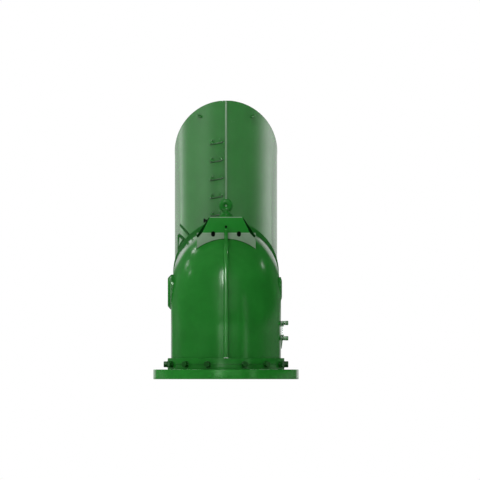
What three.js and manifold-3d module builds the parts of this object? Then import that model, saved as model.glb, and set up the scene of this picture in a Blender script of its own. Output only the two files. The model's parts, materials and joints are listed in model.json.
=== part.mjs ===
// Right-angle bevel-planetary industrial gearbox with a shaft-driven cooling fan and an upright air stack.
// Units are millimetres, +Z up. The output axis is the Z axis, the input axis is parallel to Y.
// The origin is the centre of the output flange's face; the base plate's underside is 10 mm below it.
import * as THREE from "three";
import { mergeVertices } from "three/addons/utils/BufferGeometryUtils.js";
import Module from "manifold-3d";

const wasm = await Module();
wasm.setup();

// ---------- driving dimensions ----------
const BASE_DROP = 10; // the output flange is recessed this far above the base plate's underside
const PLATE = { r: 1010, t: 135, boreR: 332, holeAt: 935 };
const COLLAR = { rIn: 766, rOut: 810, z0: 135.3, z1: 293 };
const LEG_R = 764; // vertical leg of the casing
const WALL = 30;
const AXIS_Z = 1408; // input shaft height above the base plate's underside
const BEND_R = 780; // centre-line radius of the casing's bend
const END_R = 730; // casing radius at the end of the bend
const HOOP = { r: 734, z: 1480, y0: 780, y1: 816 }; // its circle is set higher than the shaft, so it is a crescent over the casing
const TAPER_FROM = 0.4; // the casing keeps the leg's radius up to this part of the bend
const taper = (t) => Math.max(0, (t - TAPER_FROM) / (1 - TAPER_FROM));
const STACK = { y: 1860, r: 710, wall: 12, z0: 640, mitreZ: 3160, mouthY: 2690 };
const DRUM = { r: 700, rIn: 688, y0: 816.5, y1: 1110 };
const PORT = 222; // half width of each of the drum's four air ports
const SHAFT = { tailY: 2770, hubY: 2780 };
const SUN_Z = 12, PLANET_Z = 15, RING_Z = 42, MOD = 25;
const PINION_Z = 12, WHEEL_Z = 31, BEVEL_MOD = 24, FACE = 112;
const CENTRE = ((SUN_Z + PLANET_Z) * MOD) / 2; // sun to planet centre distance
const GEAR_Z0 = 335, GEAR_Z1 = 525;
const BOLT = { n: 7, r0: 810.6, r1: 866, af: 78, z: 207, angles: [22.7, 47.2, 71.7, 108.3, 132.8, 157.3, 181.8] };
const RUNG = { pitch: 250, z: 2270, x0: -214, x1: -50, count: 5, bar: 13 };
const EYE = { z: 2409, y: 150, R: 56, r: 40 };
const GAP = 0.35;

// ---------- solids ----------
function solid(geometry, matrix) {
  const g = (geometry.index ? geometry.toNonIndexed() : geometry).clone();
  const bare = new THREE.BufferGeometry().setAttribute("position", g.getAttribute("position"));
  if (matrix) bare.applyMatrix4(matrix);
  const m = mergeVertices(bare, 1e-4);
  const flip = matrix && matrix.determinant() < 0;
  const tri = new Uint32Array(m.index.array);
  if (flip) for (let i = 0; i < tri.length; i += 3) [tri[i + 1], tri[i + 2]] = [tri[i + 2], tri[i + 1]];
  return new wasm.Manifold(new wasm.Mesh({ numProp: 3, vertProperties: new Float32Array(m.attributes.position.array), triVerts: tri }));
}
function geometryOf(s) {
  const m = s.getMesh();
  const v = new Float32Array(m.numVert * 3);
  for (let i = 0; i < m.numVert; i++) v.set(m.vertProperties.subarray(i * m.numProp, i * m.numProp + 3), i * 3);
  const g = new THREE.BufferGeometry();
  g.setAttribute("position", new THREE.BufferAttribute(v, 3));
  g.setIndex(new THREE.BufferAttribute(new Uint32Array(m.triVerts), 1));
  g.computeVertexNormals();
  return g;
}
const T = (x, y, z) => new THREE.Matrix4().makeTranslation(x, y, z);
const RX = (a) => new THREE.Matrix4().makeRotationX(a);
const RY = (a) => new THREE.Matrix4().makeRotationY(a);
const RZ = (a) => new THREE.Matrix4().makeRotationZ(a);
const chain = (...ms) => ms.reduce((a, b) => a.multiply(b), new THREE.Matrix4());
const deg = Math.PI / 180;

// Turned body: profile [[radius, height], ...] about Z, starting and ending on the axis.
function turned(profile, n, matrix) {
  const g = new THREE.LatheGeometry(profile.map((p) => new THREE.Vector2(p[0], p[1])), n);
  const m = chain(matrix || new THREE.Matrix4(), RX(Math.PI / 2));
  let s = solid(g, m);
  return s;
}
// Cylinder or cone from p0 to p1 along an axis.
function rod(axis, a, b, r, n = 24, at = [0, 0], r2 = r, phase = 0) {
  const lo = Math.min(a, b), hi = Math.max(a, b);
  const g = new THREE.CylinderGeometry(r2, r, hi - lo, n, 1);
  const m =
    axis === "z" ? chain(T(at[0], at[1], (lo + hi) / 2), RZ(phase), RX(Math.PI / 2))
    : axis === "y" ? chain(T(at[0], (lo + hi) / 2, at[1]), RY(phase))
    : chain(T((lo + hi) / 2, at[0], at[1]), RX(phase), RZ(-Math.PI / 2));
  return solid(g, m);
}
const tube = (axis, a, b, ro, ri, n = 48, at = [0, 0]) => rod(axis, a, b, ro, n, at).subtract(rod(axis, Math.min(a, b) - 5, Math.max(a, b) + 5, ri, n, at));
function box(x0, x1, y0, y1, z0, z1, matrix) {
  return solid(new THREE.BoxGeometry(x1 - x0, y1 - y0, z1 - z0), chain(matrix || new THREE.Matrix4(), T((x0 + x1) / 2, (y0 + y1) / 2, (z0 + z1) / 2)));
}
// Prism of a 2-D outline, extruded along Z from z0 to z1.
function prism(points, z0, z1, matrix, hole) {
  const shape = new THREE.Shape(points.map((p) => new THREE.Vector2(p[0], p[1])));
  if (hole) shape.holes.push(new THREE.Path(hole.map((p) => new THREE.Vector2(p[0], p[1]))));
  const g = new THREE.ExtrudeGeometry(shape, { depth: z1 - z0, bevelEnabled: false, curveSegments: 1 });
  return solid(g, chain(matrix || new THREE.Matrix4(), T(0, 0, z0)));
}
// Outline in the X-Z plane, extruded along Y from y0 to y1.
const XZ = (y1) => chain(T(0, y1, 0), RX(Math.PI / 2)); // (x, z, depth) to world: depth runs towards -Y
const prismY = (points, y0, y1, hole) => prism(points, 0, y1 - y0, XZ(y1), hole);
// Outline in the Y-Z plane, extruded along X from x0 to x1.
const prismX = (points, x0, x1) => prism(points, 0, x1 - x0, chain(T(x0, 0, 0), RY(Math.PI / 2), RZ(Math.PI / 2)));
const circle = (r, n, cx = 0, cy = 0, a0 = 0) => Array.from({ length: n }, (_, i) => [cx + r * Math.cos(a0 + (i * 2 * Math.PI) / n), cy + r * Math.sin(a0 + (i * 2 * Math.PI) / n)]);
// A closed solid from rings of equal length, capped by fans at both ends.
function loft(rings) {
  const n = rings[0].length, v = [], t = [];
  rings.forEach((r) => r.forEach((p) => v.push(...p)));
  for (let k = 0; k + 1 < rings.length; k++)
    for (let i = 0; i < n; i++) {
      const a = k * n + i, b = k * n + ((i + 1) % n), c = a + n, d = b + n;
      t.push(a, b, d, a, d, c);
    }
  const centre = (r) => r.reduce((s, p) => [s[0] + p[0] / n, s[1] + p[1] / n, s[2] + p[2] / n], [0, 0, 0]);
  const c0 = v.length / 3; v.push(...centre(rings[0]));
  const c1 = v.length / 3; v.push(...centre(rings[rings.length - 1]));
  const last = (rings.length - 1) * n;
  for (let i = 0; i < n; i++) {
    t.push(c0, (i + 1) % n, i);
    t.push(c1, last + i, last + ((i + 1) % n));
  }
  const g = new THREE.BufferGeometry();
  g.setAttribute("position", new THREE.BufferAttribute(new Float32Array(v), 3));
  g.setIndex(t);
  let s = solid(g);
  if (s.volume() < 0) {
    for (let i = 0; i < t.length; i += 3) [t[i + 1], t[i + 2]] = [t[i + 2], t[i + 1]];
    g.setIndex(t);
    s = solid(g);
  }
  return s;
}
const unite = (list) => list.reduce((a, b) => a.add(b));

// ---------- gear profiles ----------
const PRESSURE = 20 * deg;
const inv = (a) => Math.tan(a) - a;
function halfAngle(z, m, r, thin) {
  const rp = (z * m) / 2, rb = rp * Math.cos(PRESSURE);
  const a = Math.acos(Math.min(1, rb / Math.max(r, rb)));
  return Math.PI / (2 * z) + inv(PRESSURE) - inv(a) - thin / rp;
}
// Tooth outline of an external gear, counter-clockwise; a tooth is centred on angle a0.
function spur(z, m, { add = 0.9, ded = 1.2, thin = 0.09 * m, a0 = 0, mids = 0 } = {}) {
  const rp = (z * m) / 2, pts = [];
  const radii = [rp - ded * m];
  for (let k = 1; k <= mids; k++) radii.push(rp + ((k / (mids + 1)) * (add + 0.6) - 0.6) * m);
  radii.push(rp + add * m);
  for (let i = 0; i < z; i++) {
    const c = a0 + (i * 2 * Math.PI) / z;
    radii.forEach((r) => { const h = halfAngle(z, m, r, thin); pts.push([r * Math.cos(c - h), r * Math.sin(c - h)]); });
    [...radii].reverse().forEach((r) => { const h = halfAngle(z, m, r, thin); pts.push([r * Math.cos(c + h), r * Math.sin(c + h)]); });
  }
  return pts;
}
// Bevel gear about an axis k through the apex: returns a loft solid in a frame where the axis is +Z and the apex is the origin.
function bevel(z, m, delta, face, { thin = 0.09 * m, a0 = 0, hubR, hubBack, bore }) {
  const rp = (z * m) / 2, A = rp / Math.tan(delta), Re = rp / Math.sin(delta);
  const zv = z / Math.cos(delta), rv = rp / Math.cos(delta);
  const add = 0.85, ded = 1.15;
  const radii = [rv - ded * m, rv + add * m];
  const at = (rho, phi, k) => {
    const r = rho * Math.cos(delta) * k, zz = (A + rp * Math.tan(delta) - rho * Math.sin(delta)) * k;
    return [r * Math.cos(phi), r * Math.sin(phi), zz];
  };
  const ring = (k) => {
    const pts = [];
    for (let i = 0; i < z; i++) {
      const c = a0 + (i * 2 * Math.PI) / z;
      const h = (rho) => halfAngle(zv, m, rho, thin) / Math.cos(delta);
      radii.forEach((rho) => pts.push(at(rho, c - h(rho), k)));
      [...radii].reverse().forEach((rho) => pts.push(at(rho, c + h(rho), k)));
    }
    return pts;
  };
  let s = loft([ring((Re - face) / Re), ring(1)]);
  s = s.add(rod("z", A * ((Re - face) / Re) - 4, hubBack, hubR, 20));
  return s.subtract(rod("z", -10, hubBack + 50, bore, 20));
}

// ---------- the scene graph ----------
const group = new THREE.Group();
group.position.z = -BASE_DROP;
const GREEN = { color: 0x1f7a2a, roughness: 0.32, metalness: 0.0 };
const STEEL = { color: 0x8c9092, roughness: 0.35, metalness: 0.9 };
const DARK = { color: 0x2a2d2b, roughness: 0.5, metalness: 0.2 };
const PALE = { color: 0x7f9a80, roughness: 0.4, metalness: 0.1 };
function add(name, s, look = GREEN) {
  const mesh = new THREE.Mesh(geometryOf(s), new THREE.MeshStandardMaterial(look));
  mesh.name = name;
  group.add(mesh);
  return mesh;
}

// ---------- base plate and collar ----------
{
  // a round plate with eight holding-down holes on one circle
  let s = tube("z", 0, PLATE.t, PLATE.r, PLATE.boreR, 64);
  for (let k = 0; k < 8; k++) {
    const a = (22.5 + 45 * k) * deg;
    s = s.subtract(rod("z", -5, PLATE.t + 5, 33, 8, [PLATE.holeAt * Math.cos(a), PLATE.holeAt * Math.sin(a)]));
  }
  add("base_plate", s);
}
let collar = tube("z", COLLAR.z0, COLLAR.z1, COLLAR.rOut, COLLAR.rIn, 56);
const boltAngles = [...BOLT.angles, -1.8, -26.3, -50.8, -75.3, 206.3, 230.8, 255.3];
boltAngles.forEach((a) => { collar = collar.subtract(rod("x", 740, 830, 26.5, 6, [0, BOLT.z]).transform(mat(RZ(a * deg - Math.PI)))); });
function mat(m) { return m.elements; }
add("clamp_collar", collar);

// Radial collar bolts, tied together by their locking wire.
{
  const one = unite([
    rod("x", BOLT.r0, BOLT.r1, BOLT.af / 2 / Math.cos(30 * deg), 6, [0, BOLT.z]),
    rod("x", 766, 812, 24, 6, [0, BOLT.z]),
  ]);
  const wire = solid(new THREE.TorusGeometry(848, 5, 3, 42), T(0, 0, BOLT.z));
  add("collar_bolts", unite([wire, ...boltAngles.map((a) => one.transform(mat(RZ(a * deg - Math.PI))))]));
}

// ---------- casing: a vertical leg that bends into a horizontal one ----------
function elbow(rLeg, rEnd, z0, yEnd, n, steps) {
  const rings = [];
  const ring = (cy, cz, th, r) => {
    // th is 0 on the vertical leg and 90 degrees on the horizontal one
    const pts = [];
    for (let i = 0; i < n; i++) {
      const a = ((i + 0.5) * 2 * Math.PI) / n;
      const u = r * Math.cos(a), w = r * Math.sin(a);
      pts.push([u, cy - w * Math.cos(th), cz + w * Math.sin(th)]);
    }
    return pts;
  };
  rings.push(ring(0, z0, 0, rLeg));
  const zb = AXIS_Z - BEND_R;
  for (let k = 0; k <= steps; k++) {
    const th = (k / steps) * 90 * deg;
    rings.push(ring(BEND_R - BEND_R * Math.cos(th), zb + BEND_R * Math.sin(th), th, rLeg + (rEnd - rLeg) * taper(k / steps)));
  }
  if (yEnd > BEND_R) rings.push(ring(yEnd, AXIS_Z, 90 * deg, rEnd));
  return loft(rings);
}
const LEFT = { y: 262, z: 1208 }, RIGHT = { y: 280, z: 1250 };
const skin = elbow(LEG_R, END_R, COLLAR.z0 + 0.4, HOOP.y1, 40, 9);
const skinGap = elbow(LEG_R + 0.6, END_R + 0.6, 0, HOOP.y1, 40, 9); // for pieces that sit on the casing
const cavity = elbow(LEG_R - WALL, END_R - WALL, COLLAR.z0 - 20, HOOP.y1 + 20, 28, 6);
{
  let s = skin
    .add(rod("y", HOOP.y0, HOOP.y1, HOOP.r, 56, [0, HOOP.z]))
    .add(rod("x", -765, -640, 246, 28, [LEFT.y, LEFT.z]))
    .add(rod("x", 640, 765, 168, 24, [RIGHT.y, RIGHT.z]));
  s = s.subtract(cavity);
  s = s.subtract(rod("x", -900, -500, 150, 20, [LEFT.y, LEFT.z])).subtract(rod("x", 500, 900, 100, 20, [RIGHT.y, RIGHT.z]));
  s = s.subtract(rod("x", 700, 900, 10, 8, [0, 781])).subtract(rod("x", 700, 900, 10, 8, [0, 568]));
  add("gear_casing", s);
}
add("left_inspection_cover", unite([solid(new THREE.CylinderGeometry(240, 196, 43.5, 32, 1), chain(T(-787.25, LEFT.y, LEFT.z), RZ(-Math.PI / 2)))])
  .add(rod("x", -766, -720, 148, 20, [LEFT.y, LEFT.z])));
add("right_inspection_cover", unite([solid(new THREE.CylinderGeometry(112, 148, 12, 32, 1), chain(T(771.5, RIGHT.y, RIGHT.z), RZ(-Math.PI / 2))), rod("x", 705, 766, 98, 20, [RIGHT.y, RIGHT.z])]));

// Spine rib over the outside of the bend.
{
  const zb = AXIS_Z - BEND_R, out = (th, h) => {
    const k = th / (90 * deg), r = BEND_R + LEG_R + (END_R - LEG_R) * taper(k) + h;
    return [BEND_R - r * Math.cos(th), zb + r * Math.sin(th)];
  };
  const crest = [[-(LEG_R + 58), COLLAR.z1 + 8], [-(LEG_R + 58), zb]], foot = [];
  for (let a = 7.5; a <= 52.5; a += 7.5) crest.push(out(a * deg, 58));
  crest.push([-84, 1962], [-72, 2006], [-72, 2085], [4, 2085]);
  const back = [[4, 1860]];
  for (let a = 45; a >= 7.5; a -= 7.5) back.push(out(a * deg, -16));
  back.push([-(LEG_R - 16), zb], [-(LEG_R - 16), COLLAR.z1 + 8]);
  const outline = [...crest, ...back];
  let s = prismX(outline, -33, 33);
  s = s.subtract(skinGap);
  add("spine_rib", s);
}

// ---------- lifting saddle on top of the bend ----------
const slots = [-179, 179].map((x) => {
  const pts = [];
  for (let k = 0; k <= 6; k++) pts.push([x + 28 * Math.cos(k * 30 * deg), 2027 + 28 * Math.sin(k * 30 * deg)]);
  for (let k = 6; k <= 12; k++) pts.push([x + 28 * Math.cos(k * 30 * deg), 2007 + 28 * Math.sin(k * 30 * deg)]);
  return prismY(pts, -60, 60);
});
{
  const front = prismY([[-404, 1700], [412, 1700], [412, 2034], [-404, 2034]], 5, 35);
  let s = front.subtract(skinGap);
  slots.forEach((c) => (s = s.subtract(c)));
  add("saddle_plate", s, PALE);
  // hood: a tapered box, wider at the back than at the front
  const ringXZ = (pts, y) => pts.map(([x, z]) => [x, y, z]);
  const f = [[-330, 2034.5], [330, 2034.5], [226, 2252], [-226, 2252]];
  const b = [[-412, 1985], [412, 1985], [234, 2252], [-234, 2252]];
  const fi = [[-338, 1960], [338, 1960], [211, 2226], [-211, 2226]];
  const bi = [[-436, 1900], [436, 1900], [222, 2226], [-222, 2226]];
  let hood = loft([ringXZ(f, 5), ringXZ(b, 330)]);
  hood = hood.subtract(loft([ringXZ(fi, 31), ringXZ(bi, 304)]));
  hood = hood.subtract(skinGap).subtract(box(-500, 500, -5, 35 + GAP, 1800, 2034.4));
  slots.forEach((c) => (hood = hood.subtract(c)));
  hood = hood.subtract(rod("y", -60, 20, 18, 16, [0, 2117])).subtract(rod("z", 2200, 2300, 44, 20, [0, EYE.y])).subtract(rod("x", -330, -200, 18, 8, [60, 2203]));
  const parts = hood.decompose().sort((p, q) => q.volume() - p.volume());
  add("lifting_hood", parts[0]);
}
add("eye_washer", tube("z", 2252.4, 2274, 95, 43, 20, [0, EYE.y]));
{
  const ring = solid(new THREE.TorusGeometry(EYE.R, EYE.r, 10, 20), chain(T(0, EYE.y, EYE.z), RX(Math.PI / 2)));
  const stem = turned([[0, 2190], [62, 2190], [62, 2216], [40, 2216], [40, 2274.5], [88, 2274.5], [88, 2290], [58, 2302], [50, 2345], [0, 2345]], 20, T(0, EYE.y, 0));
  add("lifting_eye", ring.add(stem));
}
add("breather", unite([rod("x", -313, -286, 28, 12, [60, 2203]), rod("x", -286, -236, 16, 8, [60, 2203])]), DARK);

// ---------- oil level gauge on the right side ----------
const GX = 785;
add("gauge_cock_upper", unite([rod("x", 764.6, 826, 30, 16, [0, 781]), rod("z", 731, 781, 21, 16, [GX, 0])]));
add("gauge_cock_lower", unite([rod("x", 764.6, 826, 30, 16, [0, 568]), rod("z", 568, 621, 21, 16, [GX, 0]), prismY([[764.6, 421], [768, 421], [790, 545], [764.6, 560]], -15, 15)]));
add("sight_glass", tube("z", 621.5, 730.5, 13, 9, 16, [GX, 0]), { color: 0xdfe9e4, roughness: 0.05, metalness: 0, transparent: true, opacity: 0.35 });
for (const [name, z] of [["gauge_handle_upper", 781], ["gauge_handle_lower", 568]])
  add(name, unite([rod("x", 826.5, 866, 30, 16, [0, z]), box(838, 856, 10, 118, z - 12, z + 12)]), GREEN);
// oil drain plug, low on the back of the leg
{
  const m = mat(RZ(60 * deg));
  add("drain_plug", unite([rod("x", 765, 775, 44, 16, [0, 345]), rod("x", 775, 808, 34, 6, [0, 345])]).transform(m), STEEL);
}

// ---------- air drum, shutter and stack ----------
{
  let s = tube("y", DRUM.y0, DRUM.y1, DRUM.r, DRUM.rIn, 40, [0, AXIS_Z]);
  s = s.add(rod("y", DRUM.y0, DRUM.y0 + 20, HOOP.r, 56, [0, HOOP.z]).subtract(rod("y", 800, 900, DRUM.rIn, 40, [0, AXIS_Z])));
  for (let i = 0; i < 4; i++) s = s.subtract(box(600, 760, 905, 1065, -PORT, PORT, chain(T(0, 0, AXIS_Z), RY(i * 90 * deg))));
  add("air_drum", s);
  let r = tube("y", 880, 1096, 718, 706, 40, [0, AXIS_Z]);
  for (let i = 0; i < 4; i++) r = r.subtract(box(600, 760, 905, 1065, -PORT, PORT, chain(T(0, 0, AXIS_Z), RY(i * 90 * deg))));
  // operating lever, radial, at the upper left
  r = r.add(box(708, 980, 962, 1012, -17, 17, chain(T(0, 0, AXIS_Z), RY((180 + 49.2) * deg))));
  add("shutter_ring", r);
  // triangular stop bracket beside the lever, standing on the drum's front flange
  const at = (rr, a) => [-rr * Math.cos(a * deg), AXIS_Z + rr * Math.sin(a * deg)];
  const outer = [at(759.5, 28.5), at(759.5, 33.5), at(759.5, 38.5), at(759.5, 43.9), at(897, 43.9), at(897, 41.4)];
  const inner = [at(796, 34.2), at(801, 37.5), at(806, 41.0), at(856, 41.0)];
  const clean = (p) => p;
  let b = prismY(clean(outer), 820, 860);
  if (b.volume() < 0) throw new Error("stop bracket is inside out");
  b = b.subtract(prismY(clean(inner), 800, 880));
  add("stop_bracket", b.subtract(rod("y", 800, 880, HOOP.r + 0.6, 56, [0, HOOP.z])));
}
{
  const yS = STACK.y, R = STACK.r, Ri = R - STACK.wall;
  // the mitre plane passes through the stack's axis at mitreZ and leans back at 45 degrees
  const above = (off) => box(-1200, 1200, -3000, 3000, 0, 3000, chain(T(0, yS, STACK.mitreZ + off), RX(-45 * deg)));
  const below = (off) => box(-1200, 1200, -3000, 3000, -3000, 0, chain(T(0, yS, STACK.mitreZ + off), RX(-45 * deg)));
  let s = rod("z", STACK.z0, 4100, R, 48, [0, yS])
    .add(rod("y", DRUM.y1 + 0.5, yS, DRUM.r, 40, [0, AXIS_Z]))
    .add(rod("y", yS, 2600, 300, 24, [0, AXIS_Z]));
  let v = rod("z", STACK.z0 + STACK.wall, 4200, Ri, 48, [0, yS])
    .add(rod("y", DRUM.y1 - 20, yS, DRUM.rIn, 40, [0, AXIS_Z]))
    .add(rod("y", yS, 2620, 286, 24, [0, AXIS_Z]));
  s = s.subtract(v).subtract(above(-0.4));
  add("stack_tube", s);
  let h;
  const outlet = rod("y", yS - 800, STACK.mouthY, R, 48, [0, STACK.mitreZ]);
  h = outlet.subtract(rod("y", yS - 900, STACK.mouthY + 50, Ri, 48, [0, STACK.mitreZ])).intersect(above(0.4));
  h = h.add(tube("y", STACK.mouthY - 30, STACK.mouthY, R, Ri - 30, 48, [0, STACK.mitreZ]));
  add("stack_outlet", h);
  // narrow vertical strip down the stack's front
  add("stack_strip", box(-14, 14, yS - R - 22, yS - R + 14, 2200, STACK.mitreZ + R - 4).subtract(rod("z", 2000, 4200, R + 0.5, 48, [0, yS])), PALE);
  // step irons on the stack
  for (let i = 0; i < RUNG.count; i++) {
    const z = RUNG.z + i * RUNG.pitch, yw = (x) => yS - Math.sqrt(R * R - x * x);
    const P = (x, out, dz) => new THREE.Vector3(x, yw(x) - out, z + dz);
    const pts = [P(-190, 4, 46), P(-196, 40, 34), P(RUNG.x0 + 2, 118, -6), P(RUNG.x0 + 16, 136, -10), P(-132, 150, 3), P(RUNG.x1 - 16, 136, 16), P(RUNG.x1 - 2, 118, 22), P(-72, 40, 48), P(-78, 4, 56)];
    const path = new THREE.CatmullRomCurve3(pts, false, "catmullrom", 0.35);
    const shape = new THREE.Shape(circle(RUNG.bar, 5).map((p) => new THREE.Vector2(p[0], p[1])));
    const g = new THREE.ExtrudeGeometry(shape, { steps: 12, extrudePath: path, bevelEnabled: false });
    add("step_iron_" + (i + 1), solid(g).subtract(rod("z", 2000, 4200, R + 0.6, 48, [0, yS])));
  }
  // small lifting lugs near the top
  for (const [name, sg] of [["stack_lug_left", -1], ["stack_lug_right", 1]]) {
    const a = Math.asin((sg * 361) / R);
    const m = chain(T(0, yS, 3653), RZ(a), T(0, -R, 0), RY(-sg * 24 * deg));
    let l = prism([[-34, 12], [-34, -32], [-16, -62], [16, -62], [34, -32], [34, 12]], -10, 10, m, circle(13, 10, 0, -36).reverse());
    add(name, l.subtract(rod("z", 2000, 4200, R + 0.6, 48, [0, yS])));
  }
}
// rear stand under the stack
{
  let s = unite([
    box(-450, 450, 1500, 2220, 0, 35),
    tube("z", 30, 640 - GAP, 330, 305, 24, [0, STACK.y]),
    tube("z", 610, 640 - GAP, 420, 305, 24, [0, STACK.y]),
  ]);
  for (let i = 0; i < 4; i++)
    s = s.add(prismY([[322, 30], [470, 30], [470, 60], [345, 420], [322, 420]], -11, 11).transform(mat(chain(T(0, STACK.y, 0), RZ((45 + i * 90) * deg)))).intersect(box(-445, 445, 1505, 2215, 0, 700)));
  add("rear_stand", s.subtract(box(-120, 120, 1400, 1700, 120, 420)));
}

// ---------- input line: bearings, shaft, pinion, fan, coupling ----------
const inAt = [0, AXIS_Z];
{
  let s = unite([
    tube("y", 765, 795, END_R - WALL - 8, 180, 32, inAt),
    tube("y", 440, 835, 205, 172.5, 20, inAt),
    tube("y", 440, 452, 205, 150, 20, inAt),
  ]);
  for (let i = 0; i < 4; i++) s = s.add(prism([[200, 795 - 30], [200, 520], [660, 765 - 20], [660, 765 + 5]].map(([r, y]) => [r, y]), -9, 9, chain(T(0, 0, AXIS_Z), RY((i * 90 + 45) * deg))));
  s = s.subtract(rod("y", 452.2, 900, 172.2, 20, inAt)).subtract(rod("y", 300, 900, 148, 20, inAt));
  add("input_bearing_housing", s);
}
add("input_bearing_front", tube("y", 452.8, 540, 171.8, 86.6, 20, inAt), STEEL);
add("input_bearing_rear", tube("y", 700, 786, 171.8, 86.6, 20, inAt), STEEL);
add("input_seal", tube("y", 790, 812, 171.8, 86.6, 20, inAt), DARK);
{
  const s = turned([[0, 212], [59.6, 212], [59.6, 400], [85, 400], [85, 1400], [80, 1400], [80, 2606], [74.6, 2606], [74.6, SHAFT.tailY], [0, SHAFT.tailY]], 20, chain(T(0, 0, AXIS_Z), RX(-Math.PI / 2)));
  add("input_shaft", s, STEEL);
}
const d1 = Math.atan2(PINION_Z, WHEEL_Z), d2 = Math.atan2(WHEEL_Z, PINION_Z);
{
  // pinion axis along +Y from the apex; one tooth points straight down
  const s = bevel(PINION_Z, BEVEL_MOD, d1, FACE, { a0: 0, hubR: 88, hubBack: 399, bore: 60 });
  // gear frame: x' -> -Z, y' -> -X?, z' -> +Y
  const m = new THREE.Matrix4().makeBasis(new THREE.Vector3(0, 0, -1), new THREE.Vector3(-1, 0, 0), new THREE.Vector3(0, 1, 0)).premultiply(T(0, 0, AXIS_Z));
  add("bevel_pinion", s.transform(mat(m)), STEEL);
}
{
  let s = tube("y", 1150, 1290, 210, 85.4, 20, inAt);
  const blades = [];
  for (let i = 0; i < 8; i++) {
    const ring = (r, w, pitch) => {
      const c = Math.cos(pitch * deg), n = Math.sin(pitch * deg), h = 7;
      return [[-w, -h], [w, -h], [w, h], [-w, h]].map(([a, b]) => [a * n + b * c, 1220 + a * c - b * n, r]);
    };
    const b = loft([ring(190, 62, 40), ring(420, 70, 52), ring(655, 76, 62)]);
    blades.push(b.transform(mat(chain(T(0, 0, AXIS_Z), RY(i * 45 * deg)))));
  }
  s = unite([s, ...blades]).subtract(rod("y", 1100, 1400, 85.4, 20, inAt));
  add("fan_impeller", s, { color: 0x9aa0a0, roughness: 0.4, metalness: 0.7 });
}
{
  const s = unite([tube("y", 2600.5, 2640, 300, 116, 24, inAt), tube("y", 1420, 2605, 132, 116, 20, inAt), tube("y", 2630, 2682, 160, 88, 20, inAt)]);
  const c = s.subtract(rod("y", 2500, 2676, 115.5, 20, inAt));
  add("rear_bearing_housing", c);
}
add("tail_bearing", tube("y", 2608, 2672, 115, 76, 20, inAt), STEEL);
{
  let s = unite([tube("y", 2690, SHAFT.hubY, 120, 76.4, 20, inAt), tube("y", 2738, SHAFT.hubY, 210, 76.4, 20, inAt)]);
  for (let i = 0; i < 6; i++) s = s.subtract(rod("y", 2700, 2800, 15, 6, inAt).transform(mat(chain(T(0, 0, AXIS_Z), RY(i * 60 * deg), T(168, 0, -AXIS_Z)))));
  add("coupling_hub", s, STEEL);
}

// ---------- vertical line: bevel wheel and sun pinion ----------
{
  // wheel frame: axis points down from the apex, a tooth space faces +Y
  const s = bevel(WHEEL_Z, BEVEL_MOD, d2, FACE, { a0: Math.PI / WHEEL_Z, hubR: 190, hubBack: 290, bore: 100.4 });
  const m = new THREE.Matrix4().makeBasis(new THREE.Vector3(0, 1, 0), new THREE.Vector3(1, 0, 0), new THREE.Vector3(0, 0, -1)).premultiply(T(0, 0, AXIS_Z));
  add("bevel_wheel", s.transform(mat(m)), STEEL);
}
{
  const shaft = turned([[0, 330], [98, 330], [98, 535], [112, 545], [112, 1105], [100, 1105], [100, 1340], [0, 1340]], 20);
  // the sun's teeth
  const teeth = prism(spur(SUN_Z, MOD, { a0: 90 * deg }), GEAR_Z0 - 2, GEAR_Z1 + 2);
  add("sun_pinion_shaft", shaft.add(teeth), STEEL);
}
{
  let s = unite([
    tube("z", 585, 622, LEG_R - WALL - 12, 160, 32),
    tube("z", 585, 1098, 186, 160.4, 20),
    tube("z", 585, 597, 186, 130, 20),
  ]);
  for (let i = 0; i < 4; i++) s = s.add(prismY([[180, 610], [700, 610], [700, 640], [180, 940]], -9, 9).transform(mat(RZ((i * 90 + 45) * deg))));
  s = s.subtract(rod("z", 597, 1200, 160.4, 20)).subtract(rod("z", 500, 700, 130, 20));
  add("shaft_deck", s);
}
add("deck_bearing_lower", tube("z", 597.6, 690, 160, 114, 20), STEEL);
add("deck_bearing_upper", tube("z", 1005, 1096, 160, 114, 20), STEEL);

// ---------- planetary stage ----------
{
  const hole = spur(RING_Z, MOD, { add: 1.25, ded: 0.82, thin: -0.06 * MOD, a0: 90 * deg });
  const s = prism(circle(727, 40), GEAR_Z0 - 10, GEAR_Z1 + 10, null, hole.reverse());
  add("ring_gear", s, STEEL);
}
for (let i = 0; i < 3; i++) {
  const a = (i * 120 + 90) * deg, c = [CENTRE * Math.cos(a), CENTRE * Math.sin(a)];
  // a planet's tooth space faces the sun's tooth; the sun has a tooth at each of the three planet angles
  const phase = a + Math.PI + Math.PI / PLANET_Z;
  let s = prism(spur(PLANET_Z, MOD, { a0: phase }), GEAR_Z0, GEAR_Z1, T(c[0], c[1], 0)).subtract(rod("z", 300, 600, 72, 12, c));
  add("planet_gear_" + (i + 1), s, STEEL);
  add("planet_pin_" + (i + 1), rod("z", 288, 574, 68, 12, c), STEEL);
}
{
  const carrierR = 480;
  let s = rod("z", 290, 322, carrierR, 32).add(tube("z", 540, 572, carrierR, 140, 32));
  for (let i = 0; i < 3; i++) {
    const a = (i * 120 + 30) * deg, c = [400 * Math.cos(a), 400 * Math.sin(a)];
    s = s.add(rod("z", 315, 545, 52, 8, c));
  }
  for (let i = 0; i < 3; i++) {
    const a = (i * 120 + 90) * deg, c = [CENTRE * Math.cos(a), CENTRE * Math.sin(a)];
    s = s.subtract(rod("z", 200, 700, 68.5, 12, c));
  }
  add("planet_carrier", s, STEEL);
}
{
  const s = turned([[0, BASE_DROP], [250, BASE_DROP], [250, 58], [150, 70], [150, 276], [170, 276], [170, 289.5], [0, 289.5]], 28);
  let f = s;
  for (let i = 0; i < 6; i++) f = f.subtract(rod("z", 0, 62, 16, 6, [205 * Math.cos(i * 60 * deg), 205 * Math.sin(i * 60 * deg)]));
  add("output_shaft", f, STEEL);
}
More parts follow.
